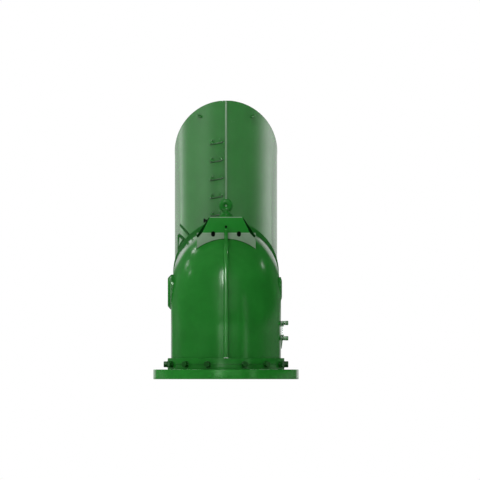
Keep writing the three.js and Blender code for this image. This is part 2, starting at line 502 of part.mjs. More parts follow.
add("output_bearing_housing", turned([[0, 30], [328, 30], [328, 135.4], [420, 135.4], [420, 160], [328, 160], [328, 280], [0, 280]], 28).subtract(rod("z", 0, 76, 262, 28)).subtract(rod("z", 60, 300, 240.5, 28)));
add("output_bearing_lower", tube("z", 104, 164, 240, 151.4, 28), STEEL);
add("output_bearing_upper", tube("z", 212, 272, 240, 151.4, 28), STEEL);
add("output_seal", tube("z", 78, 100, 240, 151.4, 28), DARK);

export default group;
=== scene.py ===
# Right-angle industrial gearbox with a cooling-air stack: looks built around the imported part.
import json
import math

import bmesh
import bpy
from mathutils import Matrix, Vector


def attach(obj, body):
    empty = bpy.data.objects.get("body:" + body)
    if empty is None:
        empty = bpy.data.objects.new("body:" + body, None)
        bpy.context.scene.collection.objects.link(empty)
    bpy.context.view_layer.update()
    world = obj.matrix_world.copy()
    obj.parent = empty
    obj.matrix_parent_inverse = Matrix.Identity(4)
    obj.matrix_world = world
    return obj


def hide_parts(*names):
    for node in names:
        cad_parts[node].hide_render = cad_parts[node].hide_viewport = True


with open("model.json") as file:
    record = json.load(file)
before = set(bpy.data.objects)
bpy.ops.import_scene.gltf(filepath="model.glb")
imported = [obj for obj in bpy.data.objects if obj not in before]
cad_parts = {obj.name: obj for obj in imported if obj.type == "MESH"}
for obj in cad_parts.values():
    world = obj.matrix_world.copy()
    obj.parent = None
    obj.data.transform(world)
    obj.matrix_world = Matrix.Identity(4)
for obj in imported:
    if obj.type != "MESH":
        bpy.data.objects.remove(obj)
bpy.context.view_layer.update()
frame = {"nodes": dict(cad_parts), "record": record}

# ---------- dimensions, in mm above the base plate's underside, as in the solid model ----------
DROP = 10.0
AZ, BEND, LEG, END = 1408.0, 780.0, 764.0, 730.0
ZB = AZ - BEND
COLLAR = (766.0, 810.0, 135.3, 293.0)
HOOP, HOOP_Z = (734.0, 780.0, 816.0), 1480.0
YS, RS, WALL_S, Z0S, ZM, YM = 1860.0, 710.0, 12.0, 640.0, 3160.0, 2690.0
DRUM_R, DRUM_I = 700.0, 688.0
ANGLES = [22.7, 47.2, 71.7, 108.3, 132.8, 157.3, 181.8, -1.8, -26.3, -50.8, -75.3, 206.3, 230.8, 255.3]
RUNGS = [2270.0 + 250.0 * i for i in range(5)]
rad = math.radians


def P(x, y, z):
    return Vector((x / 1000.0, y / 1000.0, (z - DROP) / 1000.0))


# ---------- mesh tools (all in mm until put()) ----------
def put(name, bm, mats, sharp=32.0, bevel=0.0, seg=2, bevel_angle=32.0, smooth=True):
    """Turns a bmesh in mm into an object in metres, in the part's frame."""
    bmesh.ops.remove_doubles(bm, verts=bm.verts, dist=0.02)
    bmesh.ops.recalc_face_normals(bm, faces=bm.faces)
    if bevel:
        edges = [e for e in bm.edges if e.is_manifold and e.calc_face_angle(0.0) > rad(bevel_angle)]
        bmesh.ops.bevel(bm, geom=edges, offset=bevel, segments=seg, profile=0.5, affect="EDGES", clamp_overlap=True)
        bmesh.ops.remove_doubles(bm, verts=bm.verts, dist=0.01)
    for e in bm.edges:
        e.smooth = not (e.is_manifold and e.calc_face_angle(0.0) > rad(sharp))
    for f in bm.faces:
        f.smooth = smooth
    for v in bm.verts:
        v.co = P(*v.co)
    me = bpy.data.meshes.new(name)
    bm.to_mesh(me)
    bm.free()
    for m in mats if isinstance(mats, (list, tuple)) else [mats]:
        me.materials.append(m)
    ob = bpy.data.objects.new(name, me)
    bpy.context.scene.collection.objects.link(ob)
    return ob


def place(ob, body, slot, *nodes):
    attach(ob, body)
    if nodes:
        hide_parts(*nodes)
    return ob


def frame_of(axis, at):
    """Local z runs along the axis; at is the point of local origin."""
    if axis == "z":
        m = Matrix.Identity(4)
    elif axis == "y":
        m = Matrix(((1, 0, 0, 0), (0, 0, 1, 0), (0, -1, 0, 0), (0, 0, 0, 1)))  # x->x, z->y, y->-z
    else:
        m = Matrix(((0, 0, 1, 0), (1, 0, 0, 0), (0, 1, 0, 0), (0, 0, 0, 1)))  # z->x, x->y, y->z
    return Matrix.Translation(Vector(at)) @ m


def lathe(bm, profile, axis="z", at=(0, 0, 0), n=96, mat=0, turn=0.0):
    """Turns profile [(radius, height)] about the axis. It starts and ends at radius 0, or it is a closed loop."""
    m = frame_of(axis, at)
    closed = profile[0][0] > 1e-6 or profile[-1][0] > 1e-6
    rings = []
    for r, h in profile:
        if r < 1e-6:
            rings.append([bm.verts.new(m @ Vector((0, 0, h)))])
        else:
            rings.append([bm.verts.new(m @ Vector((r * math.cos(turn + 2 * math.pi * i / n), r * math.sin(turn + 2 * math.pi * i / n), h))) for i in range(n)])
    pairs = list(zip(rings, rings[1:])) + ([(rings[-1], rings[0])] if closed else [])
    for a, b in pairs:
        for i in range(n):
            j = (i + 1) % n
            if len(a) == 1 and len(b) == 1:
                continue
            if len(a) == 1:
                f = bm.faces.new((a[0], b[j], b[i]))
            elif len(b) == 1:
                f = bm.faces.new((a[i], a[j], b[0]))
            else:
                f = bm.faces.new((a[i], a[j], b[j], b[i]))
            f.material_index = mat


def loft(bm, rings, caps=True, mat=0, loop=False):
    vs = [[bm.verts.new(Vector(p)) for p in r] for r in rings]
    n = len(vs[0])
    pairs = list(zip(vs, vs[1:])) + ([(vs[-1], vs[0])] if loop else [])
    for a, b in pairs:
        for i in range(n):
            f = bm.faces.new((a[i], a[(i + 1) % n], b[(i + 1) % n], b[i]))
            f.material_index = mat
    if caps and not loop:
        for r in (vs[0], vs[-1]):
            f = bm.faces.new(r)
            f.material_index = mat


def prism(bm, pts, plane, d0, d1, mat=0):
    """Outline in a plane ("xz", "yz" or "xy"), extruded from d0 to d1 across it."""
    def at(p, d):
        return {"xz": (p[0], d, p[1]), "yz": (d, p[0], p[1]), "xy": (p[0], p[1], d)}[plane]
    loft(bm, [[at(p, d0) for p in pts], [at(p, d1) for p in pts]], mat=mat)


def block(bm, x0, x1, y0, y1, z0, z1, mat=0, m=None):
    ring = lambda z: [(x0, y0, z), (x1, y0, z), (x1, y1, z), (x0, y1, z)]
    rings = [ring(z0), ring(z1)]
    if m is not None:
        rings = [[tuple(m @ Vector(p)) for p in r] for r in rings]
    loft(bm, rings, mat=mat)


def add_mesh(bm, src, m):
    """Adds a copy of bmesh src, moved by matrix m."""
    me = bpy.data.meshes.new("tmp")
    src.to_mesh(me)
    me.transform(m)
    bm.from_mesh(me)
    bpy.data.meshes.remove(me)


def hex_bolt(af, head, washer_r=0.0, washer_t=0.0, shank=0.0, shank_r=0.0, n=36):
    """A hexagon bolt head standing along +z from z=0, with its washer, as a bmesh in mm."""
    bm = bmesh.new()
    if washer_t:
        c = min(1.5, washer_t * 0.25)
        lathe(bm, [(0, 0), (washer_r - c, 0), (washer_r, c), (washer_r, washer_t - c), (washer_r - c, washer_t), (0, washer_t)], n=n)
    z0, z1 = washer_t, washer_t + head
    rc = af / 2 / math.cos(math.pi / 6)
    chamfer = (rc - af / 2) * 0.75
    k = 6
    rings = []
    per = 8
    for z, cut in ((z0, 0.0), (z1 - chamfer, 0.0), (z1, 1.0)):
        ring = []
        for i in range(6 * per):
            a = 2 * math.pi * i / (6 * per)
            local = (a % (math.pi / 3)) - math.pi / 6
            r = af / 2 / math.cos(local)
            if cut:
                r = min(r, af / 2 * 0.955)
            elif z > z0:
                pass
            ring.append((r * math.cos(a), r * math.sin(a), z if not (z == z1 - chamfer) else z1 - max(0.0, (r - af / 2 * 0.955)) * 0.55))
        rings.append(ring)
    loft(bm, rings)
    if shank:
        lathe(bm, [(0, -shank), (shank_r, -shank), (shank_r, 1), (0, 1)], n=24)
    return bm


def aim(direction, at, spin=0.0):
    """Matrix that takes +z to direction, with its origin at a point."""
    d = Vector(direction).normalized()
    return Matrix.Translation(Vector(at)) @ d.to_track_quat("Z", "Y").to_matrix().to_4x4() @ Matrix.Rotation(spin, 4, "Z")


def cut(ob, other, op="DIFFERENCE", solver="EXACT"):
    mod = ob.modifiers.new("cut", "BOOLEAN")
    mod.object, mod.operation, mod.solver = other, op, solver
    me = bpy.data.meshes.new_from_object(ob.evaluated_get(bpy.context.evaluated_depsgraph_get()))
    ob.modifiers.clear()
    old = ob.data
    ob.data = me
    bpy.data.meshes.remove(old)
    gone = other.data
    bpy.data.objects.remove(other)
    bpy.data.meshes.remove(gone)
    return ob


def resharpen(ob, sharp=32.0, bevel=0.0, seg=2):
    bm = bmesh.new()
    bm.from_mesh(ob.data)
    bmesh.ops.remove_doubles(bm, verts=bm.verts, dist=0.00002)
    if bevel:
        edges = [e for e in bm.edges if e.is_manifold and e.calc_face_angle(0.0) > rad(40)]
        bmesh.ops.bevel(bm, geom=edges, offset=bevel / 1000.0, segments=seg, profile=0.5, affect="EDGES", clamp_overlap=True)
    for e in bm.edges:
        e.smooth = not (e.is_manifold and e.calc_face_angle(0.0) > rad(sharp))
    for f in bm.faces:
        f.smooth = True
    bm.to_mesh(ob.data)
    bm.free()


def pipe(bm, pts, r, n=14, mat=0):
    """A round bar along points, with flat ends."""
    pts = [Vector(p) for p in pts]
    rings, up = [], None
    for i, p in enumerate(pts):
        t = (pts[min(i + 1, len(pts) - 1)] - pts[max(i - 1, 0)]).normalized()
        if up is None:
            up = t.orthogonal().normalized()
        up = (up - t * up.dot(t)).normalized()
        side = t.cross(up)
        rings.append([tuple(p + (up * math.cos(2 * math.pi * k / n) + side * math.sin(2 * math.pi * k / n)) * r) for k in range(n)])
    loft(bm, rings, mat=mat)


def catmull(pts, per=8, tension=0.5):
    pts = [Vector(p) for p in pts]
    out = []
    for i in range(len(pts) - 1):
        p0, p1, p2, p3 = pts[max(i - 1, 0)], pts[i], pts[i + 1], pts[min(i + 2, len(pts) - 1)]
        for k in range(per):
            t = k / per
            m1, m2 = (p2 - p0) * tension, (p3 - p1) * tension
            out.append(p1 * (2 * t**3 - 3 * t**2 + 1) + m1 * (t**3 - 2 * t**2 + t) + p2 * (-2 * t**3 + 3 * t**2) + m2 * (t**3 - t**2))
    out.append(pts[-1])
    return out


# ---------- the casing's surface ----------
def leg_r(th):
    t = th / (math.pi / 2)
    return LEG + (END - LEG) * max(0.0, (t - 0.4) / 0.6)


def skin_point(a, th, off=0.0):
    r = leg_r(th) + off
    u, w = r * math.cos(a), r * math.sin(a)
    return (u, BEND - BEND * math.cos(th) - w * math.cos(th), ZB + BEND * math.sin(th) + w * math.sin(th))


def skin_z(x, y, off=0.0):
    """Angle and height where the casing's outer surface crosses x, y on the upper side of the bend."""
    th = 0.8
    for _ in range(40):
        w = math.sqrt(max(0.0, (leg_r(th) + off) ** 2 - x * x))
        th = math.acos(max(-1.0, min(1.0, (BEND - y) / (BEND + w))))
    return th, ZB + (BEND + w) * math.sin(th)


# ---------- materials ----------
def nodes_of(name):
    mat = bpy.data.materials.new(name)
    mat.use_nodes = True
    nt = mat.node_tree
    nt.nodes.clear()
    out = nt.nodes.new("ShaderNodeOutputMaterial")
    bsdf = nt.nodes.new("ShaderNodeBsdfPrincipled")
    nt.links.new(bsdf.outputs[0], out.inputs[0])
    return mat, nt, bsdf


class Net:
    def __init__(self, nt):
        self.nt = nt
        self.tc = nt.nodes.new("ShaderNodeTexCoord")

    def link(self, a, b):
        self.nt.links.new(a, b)

    def noise(self, scale, detail=3.0, rough=0.55, stretch=None, distort=0.0):
        n = self.nt.nodes.new("ShaderNodeTexNoise")
        n.inputs["Scale"].default_value = scale
        n.inputs["Detail"].default_value = detail
        n.inputs["Roughness"].default_value = rough
        n.inputs["Distortion"].default_value = distort
        src = self.tc.outputs["Object"]
        if stretch:
            m = self.nt.nodes.new("ShaderNodeMapping")
            m.inputs["Scale"].default_value = stretch
            self.link(src, m.inputs["Vector"])
            src = m.outputs["Vector"]
        self.link(src, n.inputs["Vector"])
        return n.outputs["Fac"]

    def ramp(self, fac, stops):
        r = self.nt.nodes.new("ShaderNodeValToRGB")
        e = r.color_ramp.elements
        e[0].position, e[0].color = stops[0][0], (*stops[0][1], 1)
        e[1].position, e[1].color = stops[-1][0], (*stops[-1][1], 1)
        for p, c in stops[1:-1]:
            k = e.new(p)
            k.color = (*c, 1)
        self.link(fac, r.inputs[0])
        return r.outputs[0]

    def span(self, value, lo, hi, to_lo, to_hi):
        m = self.nt.nodes.new("ShaderNodeMapRange")
        m.inputs["From Min"].default_value, m.inputs["From Max"].default_value = lo, hi
        m.inputs["To Min"].default_value, m.inputs["To Max"].default_value = to_lo, to_hi
        self.link(value, m.inputs["Value"])
        return m.outputs["Result"]

    def math(self, op, a, b=None):
        m = self.nt.nodes.new("ShaderNodeMath")
        m.operation = op
        for i, v in enumerate((a, b)):
            if v is None:
                continue
            if isinstance(v, (int, float)):
                m.inputs[i].default_value = v
            else:
                self.link(v, m.inputs[i])
        return m.outputs[0]

    def mix(self, fac, a, b, blend="MIX"):
        m = self.nt.nodes.new("ShaderNodeMix")
        m.data_type, m.blend_type = "RGBA", blend
        for sock, v in ((m.inputs["Factor"], fac), (m.inputs["A"], a), (m.inputs["B"], b)):
            pass
        rgba = [s for s in m.inputs if s.type == "RGBA"]
        facs = [s for s in m.inputs if s.type == "VALUE"]
        if isinstance(fac, (int, float)):
            facs[0].default_value = fac
        else:
            self.link(fac, facs[0])
        for s, v in zip(rgba, (a, b)):
            if isinstance(v, tuple):
                s.default_value = (*v, 1)
            else:
                self.link(v, s)
        return [o for o in m.outputs if o.type == "RGBA"][0]

    def edges(self, radius=0.008, samples=3):
        """About 1 on outside corners and 0 on flats, from how far a rounded normal leans from the true one."""
        bev = self.nt.nodes.new("ShaderNodeBevel")
        bev.samples = samples
        bev.inputs["Radius"].default_value = radius
        geo = self.nt.nodes.new("ShaderNodeNewGeometry")
        dot = self.nt.nodes.new("ShaderNodeVectorMath")
        dot.operation = "DOT_PRODUCT"
        self.link(bev.outputs[0], dot.inputs[0])
        self.link(geo.outputs["Normal"], dot.inputs[1])
        return self.span(dot.outputs["Value"], 1.0, 0.90, 0.0, 1.0)

    def up(self):
        geo = self.nt.nodes.new("ShaderNodeNewGeometry")
        sep = self.nt.nodes.new("ShaderNodeSeparateXYZ")
        self.link(geo.outputs["Normal"], sep.inputs[0])
        return sep.outputs["Z"]

    def bump(self, bsdf, layers):
        prev = None
        for height, strength, distance in layers:
            b = self.nt.nodes.new("ShaderNodeBump")
            b.inputs["Strength"].default_value = strength
            b.inputs["Distance"].default_value = distance
            self.link(height, b.inputs["Height"])
            if prev is not None:
                self.link(prev, b.inputs["Normal"])
            prev = b.outputs[0]
        self.link(prev, bsdf.inputs["Normal"])


def enamel(name, base, spread=0.10, rough=(0.26, 0.42), grain=0.10, peel=0.05, wear=0.5, streak=0.0, dust=0.12, coat=0.0, bare=(0.16, 0.19, 0.15), spec=0.5, coat_rough=0.16):
    """Machinery enamel: uneven film, cast or rolled grain under it, worn corners, dust on top, runs down the sides."""
    mat, nt, b = nodes_of(name)
    n = Net(nt)
    dark = tuple(c * (1 - spread) for c in base)
    lite = tuple(min(1.0, c * (1 + spread) + 0.002) for c in base)
    col = n.ramp(n.noise(2.2, 4.0), [(0.32, dark), (0.5, base), (0.68, lite)])
    mott = n.noise(17.0, 4.0, 0.6)
    col = n.mix(n.span(mott, 0.45, 0.75, 0.0, 0.22), col, tuple(c * 0.84 for c in base))
    speck = n.noise(160.0, 2.0, 0.5)
    col = n.mix(n.span(speck, 0.66, 0.74, 0.0, 0.10), col, tuple(c * 0.6 for c in base))
    if streak:
        run = n.noise(1.0, 4.0, 0.6, stretch=(16.0, 16.0, 0.55), distort=0.15)
        col = n.mix(n.span(run, 0.52, 0.80, 0.0, streak), col, tuple(min(1.0, c * 1.25 + 0.012) for c in base))
        run2 = n.noise(1.0, 3.0, 0.6, stretch=(28.0, 28.0, 0.35), distort=0.1)
        col = n.mix(n.span(run2, 0.58, 0.82, 0.0, streak * 0.8), col, tuple(c * 0.6 for c in base))
    if dust:
        d = n.math("MULTIPLY", n.span(n.up(), 0.55, 1.0, 0.0, dust), n.span(n.noise(9.0, 5.0, 0.65), 0.35, 0.7, 0.35, 1.0))
        col = n.mix(d, col, (0.20, 0.25, 0.17))
    if wear:
        e = n.math("MULTIPLY", n.edges(), n.span(n.noise(42.0, 4.0, 0.65), 0.44, 0.66, 0.0, 1.0))
        e = n.math("MULTIPLY", e, wear)
        col = n.mix(e, col, bare)
    nt.links.new(col, b.inputs["Base Color"])
    r = n.span(n.noise(6.5, 4.0, 0.6), 0.3, 0.7, rough[0], rough[1])
    r2 = n.math("ADD", r, n.span(n.noise(75.0, 3.0, 0.6), 0.4, 0.8, 0.0, 0.10))
    nt.links.new(r2, b.inputs["Roughness"])
    b.inputs["Metallic"].default_value = 0.0
    b.inputs["Specular IOR Level"].default_value = spec
    if coat:
        b.inputs["Coat Weight"].default_value = coat
        b.inputs["Coat Roughness"].default_value = coat_rough
    n.bump(b, [(n.noise(38.0, 5.0, 0.6), grain, 0.004), (n.noise(260.0, 3.0, 0.55), peel, 0.001)])
    return mat


def gloss(mat, low, high, zones):
    """Thicker lacquer in some places. Each zone is a list of (axis, from, to) ramps in metres, multiplied together; x counts from the middle either way."""
    nt = mat.node_tree
    b = next(k for k in nt.nodes if k.type == "BSDF_PRINCIPLED")
    n = Net(nt)
    g = nt.nodes.new("ShaderNodeNewGeometry")
    sp = nt.nodes.new("ShaderNodeSeparateXYZ")
    nt.links.new(g.outputs["Position"], sp.inputs[0])
    axes = {"x": n.math("ABSOLUTE", sp.outputs[0], 0.0), "y": sp.outputs[1], "z": sp.outputs[2]}
    total = None
    for zone in zones:
        prod = None
        for ax, lo, hi in zone:
            v = n.span(axes[ax], lo, hi, 0.0, 1.0)
            prod = v if prod is None else n.math("MULTIPLY", prod, v)
        total = prod if total is None else n.math("MAXIMUM", total, prod)
    w = n.math("ADD", n.math("MULTIPLY", total, high - low), low)
    nt.links.new(w, b.inputs["Coat Weight"])
    return mat


def metal(name, base, rough=(0.22, 0.42), lines=(1, 1, 40), tint=(0.30, 0.24, 0.16), stain=0.25, bump=0.05):
    """Machined or ground steel: tool lines, a roughness that wanders, faint stain."""
    mat, nt, b = nodes_of(name)
    n = Net(nt)
    l = n.noise(6.0, 3.0, 0.5, stretch=lines)
    col = n.ramp(l, [(0.3, tuple(c * 0.85 for c in base)), (0.7, base)])
    col = n.mix(n.span(n.noise(5.0, 5.0, 0.65), 0.55, 0.8, 0.0, stain), col, tint)
    nt.links.new(col, b.inputs["Base Color"])
    nt.links.new(n.span(n.noise(24.0, 4.0, 0.6), 0.3, 0.7, *rough), b.inputs["Roughness"])
    b.inputs["Metallic"].default_value = 0.92
    n.bump(b, [(l, bump, 0.001), (n.noise(300.0, 2.0, 0.5), bump, 0.0005)])
    return mat


def plain(name, base, rough=(0.5, 0.7), bump=0.15, scale=160.0, metallic=0.0, spec=0.35):
    """Rubber, plastic or primer: fine grain and a little unevenness."""
    mat, nt, b = nodes_of(name)
    n = Net(nt)
    col = n.ramp(n.noise(8.0, 4.0, 0.6), [(0.3, tuple(c * 0.75 for c in base)), (0.7, tuple(min(1, c * 1.2) for c in base))])
    nt.links.new(col, b.inputs["Base Color"])
    nt.links.new(n.span(n.noise(30.0, 3.0, 0.6), 0.3, 0.7, *rough), b.inputs["Roughness"])
    b.inputs["Metallic"].default_value = metallic
    b.inputs["Specular IOR Level"].default_value = spec
    n.bump(b, [(n.noise(scale, 3.0, 0.6), bump, 0.0008)])
    return mat


GREEN = (0.0125, 0.157, 0.0170)
M_CAST = enamel("casing_enamel", GREEN, rough=(0.5, 0.6), grain=0.04, peel=0.03, wear=0.05, dust=0.03, spec=0.0, coat=0.10, coat_rough=0.19)
gloss(M_CAST, 0.10, 1.0, [[("y", 0.17, 0.31), ("z", 1.45, 1.62)], [("x", 0.738, 0.764), ("z", 1.10, 0.72)]])
M_COVER = enamel("cover_enamel", GREEN, rough=(0.5, 0.6), grain=0.04, peel=0.03, wear=0.05, dust=0.03, spec=0.0, coat=0.12, coat_rough=0.19)
M_PLATE = enamel("plate_enamel", (0.0130, 0.190, 0.018), rough=(0.5, 0.6), grain=0.02, peel=0.03, wear=0.30, dust=0.05, spec=0.0, coat=0.12, coat_rough=0.2)
gloss(M_PLATE, 0.12, 1.0, [[("x", 0.968, 0.992)]])
M_RIB = enamel("rib_enamel", (0.0135, 0.168, 0.0180), rough=(0.5, 0.6), grain=0.02, peel=0.02, wear=0.25, dust=0.04, spec=0.0, coat=0.26, coat_rough=0.2)
M_FLANGE = enamel("flange_enamel", (0.012, 0.125, 0.016), rough=(0.5, 0.6), grain=0.04, peel=0.03, wear=0.3, dust=0.0, spec=0.0, coat=0.10, coat_rough=0.2)
M_COLLAR = enamel("collar_enamel", (0.011, 0.150, 0.015), rough=(0.5, 0.6), grain=0.04, peel=0.03, wear=0.35, dust=0.04, spec=0.0, coat=0.10, coat_rough=0.2)
M_EYE = enamel("eye_enamel", (0.009, 0.145, 0.014), rough=(0.5, 0.6), grain=0.04, peel=0.03, wear=0.30, dust=0.0, spec=0.0, coat=0.16, coat_rough=0.12)
M_SMALL = enamel("fitting_enamel", (0.020, 0.165, 0.024), rough=(0.4, 0.5), grain=0.04, peel=0.03, wear=0.40, dust=0.0, spec=0.4, coat=0.4, coat_rough=0.2)
M_STACK = enamel("stack_enamel", (0.0150, 0.168, 0.0200), spread=0.06, rough=(0.15, 0.21), grain=0.02, peel=0.025, wear=0.30, streak=0.10, dust=0.05, spec=0.5)
M_HOOD = enamel("hood_enamel", (0.0125, 0.185, 0.0190), spread=0.05, rough=(0.5, 0.6), grain=0.03, peel=0.03, wear=0.5, dust=0.05, bare=(0.20, 0.36, 0.21), spec=0.0, coat=0.05, coat_rough=0.3)
# near-black green for the hood's side faces: painted shade on its flanks
M_HOOD_SIDE_SHADE = plain("hood_side_painted_shade", (0.0012, 0.022, 0.0025), rough=(0.7, 0.8), bump=0.1, spec=0.0)
# pale green for thin bars on the hood's and saddle plate's top edges: painted highlight lines
M_EDGE_HIGHLIGHT = enamel("edge_painted_highlight", (0.24, 0.42, 0.25), spread=0.25, rough=(0.4, 0.5), grain=0.05, wear=0.2, dust=0.0, spec=0.2)
M_BOLT = enamel("bolt_enamel", (0.007, 0.078, 0.009), rough=(0.45, 0.55), grain=0.04, wear=0.25, dust=0.0, bare=(0.20, 0.34, 0.21), spec=0.0, coat=0.12, coat_rough=0.12)
M_LEVER = enamel("lever_enamel", (0.010, 0.105, 0.014), rough=(0.5, 0.6), grain=0.04, peel=0.03, wear=0.4, dust=0.0, spec=0.0, coat=0.2, coat_rough=0.2)
M_IRON = enamel("step_iron_enamel", (0.010, 0.065, 0.012), rough=(0.4, 0.55), grain=0.06, wear=0.4, dust=0.0, bare=(0.10, 0.13, 0.10), spec=0.2)
# near-black green for the saddle plate's weld beads: painted shade along the joint
M_WELD_SHADE = enamel("weld_painted_shade", (0.006, 0.060, 0.008), rough=(0.5, 0.6), grain=0.2, peel=0.2, wear=0.2, dust=0.0, spec=0.0)
M_WEB = enamel("grey_green_coat", (0.12, 0.22, 0.12), spread=0.2, rough=(0.40, 0.60), grain=0.20, peel=0.20, wear=0.4, dust=0.0, spec=0.3)
M_STRIP = enamel("strip_coat", (0.12, 0.25, 0.125), spread=0.12, rough=(0.35, 0.5), grain=0.04, wear=0.2, dust=0.0, spec=0.3)
# near-white for the block at the rib's foot: a painted highlight
M_RIB_FOOT_HIGHLIGHT = enamel("rib_foot_painted_highlight", (0.72, 0.78, 0.72), spread=0.04, rough=(0.35, 0.5), grain=0.03, wear=0.2, dust=0.0, spec=0.4)
M_STEEL = metal("machined_steel_look", (0.46, 0.47, 0.48))
M_BEAR = metal("ground_steel_look", (0.56, 0.57, 0.58), rough=(0.14, 0.28), stain=0.08)
M_ALLOY = metal("cast_alloy_look", (0.60, 0.61, 0.62), rough=(0.38, 0.55), lines=(4, 4, 4), stain=0.12, bump=0.2)
M_PRIMER = plain("grey_primer", (0.24, 0.26, 0.24), bump=0.25, scale=70.0)
M_BLACK = plain("black_plastic_look", (0.002, 0.009, 0.003), rough=(0.6, 0.7), spec=0.03)
M_RUBBER = plain("seal_rubber_look", (0.012, 0.012, 0.012), rough=(0.6, 0.75))
# near-black for the hood's hollow and the sheet inside it: painted shade
M_INSIDE_SHADE = plain("inside_painted_shade", (0.001, 0.003, 0.001), rough=(0.8, 0.9), spec=0.02)


def glass_look():
    mat, nt, b = nodes_of("gauge_glass_look")
    n = Net(nt)
    b.inputs["Base Color"].default_value = (0.93, 0.97, 0.95, 1)
    b.inputs["Transmission Weight"].default_value = 1.0
    b.inputs["IOR"].default_value = 1.47
    nt.links.new(n.span(n.noise(40.0, 3.0), 0.4, 0.8, 0.02, 0.08), b.inputs["Roughness"])
    n.bump(b, [(n.noise(60.0, 2.0), 0.02, 0.0005)])
    return mat


M_GLASS = glass_look()
LOOK = {
    "green_casing_paint": M_CAST, "green_fabrication_paint": M_STACK, "grey_green_paint": M_WEB, "machined_steel": M_STEEL,
    "bearing_steel": M_BEAR, "primed_iron": M_PRIMER, "gauge_glass": M_GLASS, "black_plastic": M_BLACK, "seal_rubber": M_RUBBER, "fan_alloy": M_ALLOY,
}
for s in frame["record"]["subparts"]:
    ob = frame["nodes"][s["node"]]
    if not ob.material_slots:
        ob.data.materials.append(None)
    for ms in ob.material_slots:
        ms.material = LOOK[s["material_slot"]]

# ---------- base plate ----------
bm = bmesh.new()
lathe(bm, [(0, 0), (1005, 0), (1010, 5), (1010, 127), (1008.5, 131.5), (1003, 135), (0, 135)], n=192)
base = put("base_plate_skin", bm, [M_PLATE], sharp=40)
holes = bmesh.new()
lathe(holes, [(0, -20), (332, -20), (332, 200), (0, 200)], n=96)
for k in range(8):
    a = rad(22.5 + 45 * k)
    lathe(holes, [(0, -20), (33, -20), (33, 132), (36.5, 135.5), (36.5, 200), (0, 200)], at=(935 * math.cos(a), 935 * math.sin(a), 0), n=40)
cut(base, put("cutter", holes, [M_PLATE]))
resharpen(base, 35)
place(base, "frame", "green_casing_paint", "base_plate")

# ---------- clamp collar and its bolts ----------
bm = bmesh.new()
ri, ro, z0, z1 = COLLAR
lathe(bm, [(ri, z0), (ro - 3, z0), (ro, z0 + 3), (ro, z1 - 7), (ro - 2, z1 - 2.5), (ro - 7, z1), (ri, z1)], n=160)
place(put("clamp_collar_skin", bm, [M_COLLAR]), "frame", "green_casing_paint", "clamp_collar")

bm = bmesh.new()
one = hex_bolt(78, 47, 45.5, 8.2, 40, 24)
for a in ANGLES:
    d = Vector((-math.cos(rad(a)), -math.sin(rad(a)), 0))
    add_mesh(bm, one, aim(d, d * 810.7 + Vector((0, 0, 207)), rad(a * 3.7)))
one.free()
bolts = put("collar_bolt_heads", bm, [M_BOLT], sharp=24)
place(bolts, "frame", "green_fabrication_paint", "collar_bolts")
bm = bmesh.new()
for ph in (0, math.pi):
    ring = [(848 * math.cos(t) + 0, 848 * math.sin(t), 207) for t in [2 * math.pi * i / 420 for i in range(420)]]
    strand = []
    for i, (x, y, z) in enumerate(ring):
        a = ph + i * 0.9
        u = Vector((x, y, 0)).normalized()
        strand.append(Vector((x, y, z)) + u * 2.2 * math.cos(a) + Vector((0, 0, 2.2 * math.sin(a))))
    rings = []
    for i, p in enumerate(strand):
        t = (strand[(i + 1) % len(strand)] - strand[i - 1]).normalized()
        u = Vector((p.x, p.y, 0)).normalized()
        v = t.cross(u)
        rings.append([tuple(p + (u * math.cos(k * math.pi / 3) + v * math.sin(k * math.pi / 3)) * 1.6) for k in range(6)])
    loft(bm, rings, loop=True)
place(put("locking_wire", bm, [M_BOLT]), "frame", "green_fabrication_paint")

# ---------- casing ----------
bm = bmesh.new()
N = 176
def shell(off, z0, y1, steps=56):
    rings = []
    def ring(th, cy, cz):
        r = leg_r(th) + off
        return [(r * math.cos(2 * math.pi * i / N), cy - r * math.sin(2 * math.pi * i / N) * math.cos(th), cz + r * math.sin(2 * math.pi * i / N) * math.sin(th)) for i in range(N)]
    rings.append(ring(0, 0, z0))
    for k in range(4):
        rings.append(ring(0, 0, z0 + (ZB - z0) * (k + 1) / 5))
    for k in range(steps + 1):
        th = k / steps * math.pi / 2
        rings.append(ring(th, BEND - BEND * math.cos(th), ZB + BEND * math.sin(th)))
    rings.append(ring(math.pi / 2, y1, AZ))
    return rings
loft(bm, shell(0, COLLAR[2] + 0.4, HOOP[2]) + shell(-30, COLLAR[2] + 0.4, HOOP[2])[::-1], caps=False, loop=True)
# side bosses, flared where they grow out of the casing
lathe(bm, [(150, -560), (262, -560), (254, -700), (247, -716), (246, -730), (246, -762), (243, -765), (150, -765)], "x", (0, 262, 1208), n=96)
lathe(bm, [(100, 560), (184, 560), (178, 700), (170, 722), (168, 735), (168, 762), (165, 765), (100, 765)], "x", (0, 280, 1250), n=80)
casing = put("gear_casing_skin", bm, [M_CAST], sharp=38)
place(casing, "frame", "green_casing_paint", "gear_casing")
def disc(name, y0, y1, bore, mat, lip=3.0):
    """A disc on the hoop's circle, bored out on the shaft's axis."""
    bm = bmesh.new()
    lathe(bm, [(0, y0), (HOOP[0] - lip, y0), (HOOP[0], y0 + lip), (HOOP[0], y1 - 2), (HOOP[0] - 2, y1), (0, y1)], "y", (0, 0, HOOP_Z), n=224)
    ob = put(name, bm, [mat], sharp=40)
    cb = bmesh.new()
    lathe(cb, [(0, y0 - 20), (bore, y0 - 20), (bore, y1 + 20), (0, y1 + 20)], "y", (0, 0, AZ), n=N)
    cut(ob, put("cutter", cb, [mat]))
    resharpen(ob, 40)
    return ob
hoop = disc("casing_hoop", HOOP[1], HOOP[2] - 0.2, 706, M_FLANGE, 5.0)
hoop.visible_glossy = False
place(hoop, "frame", "green_casing_paint")

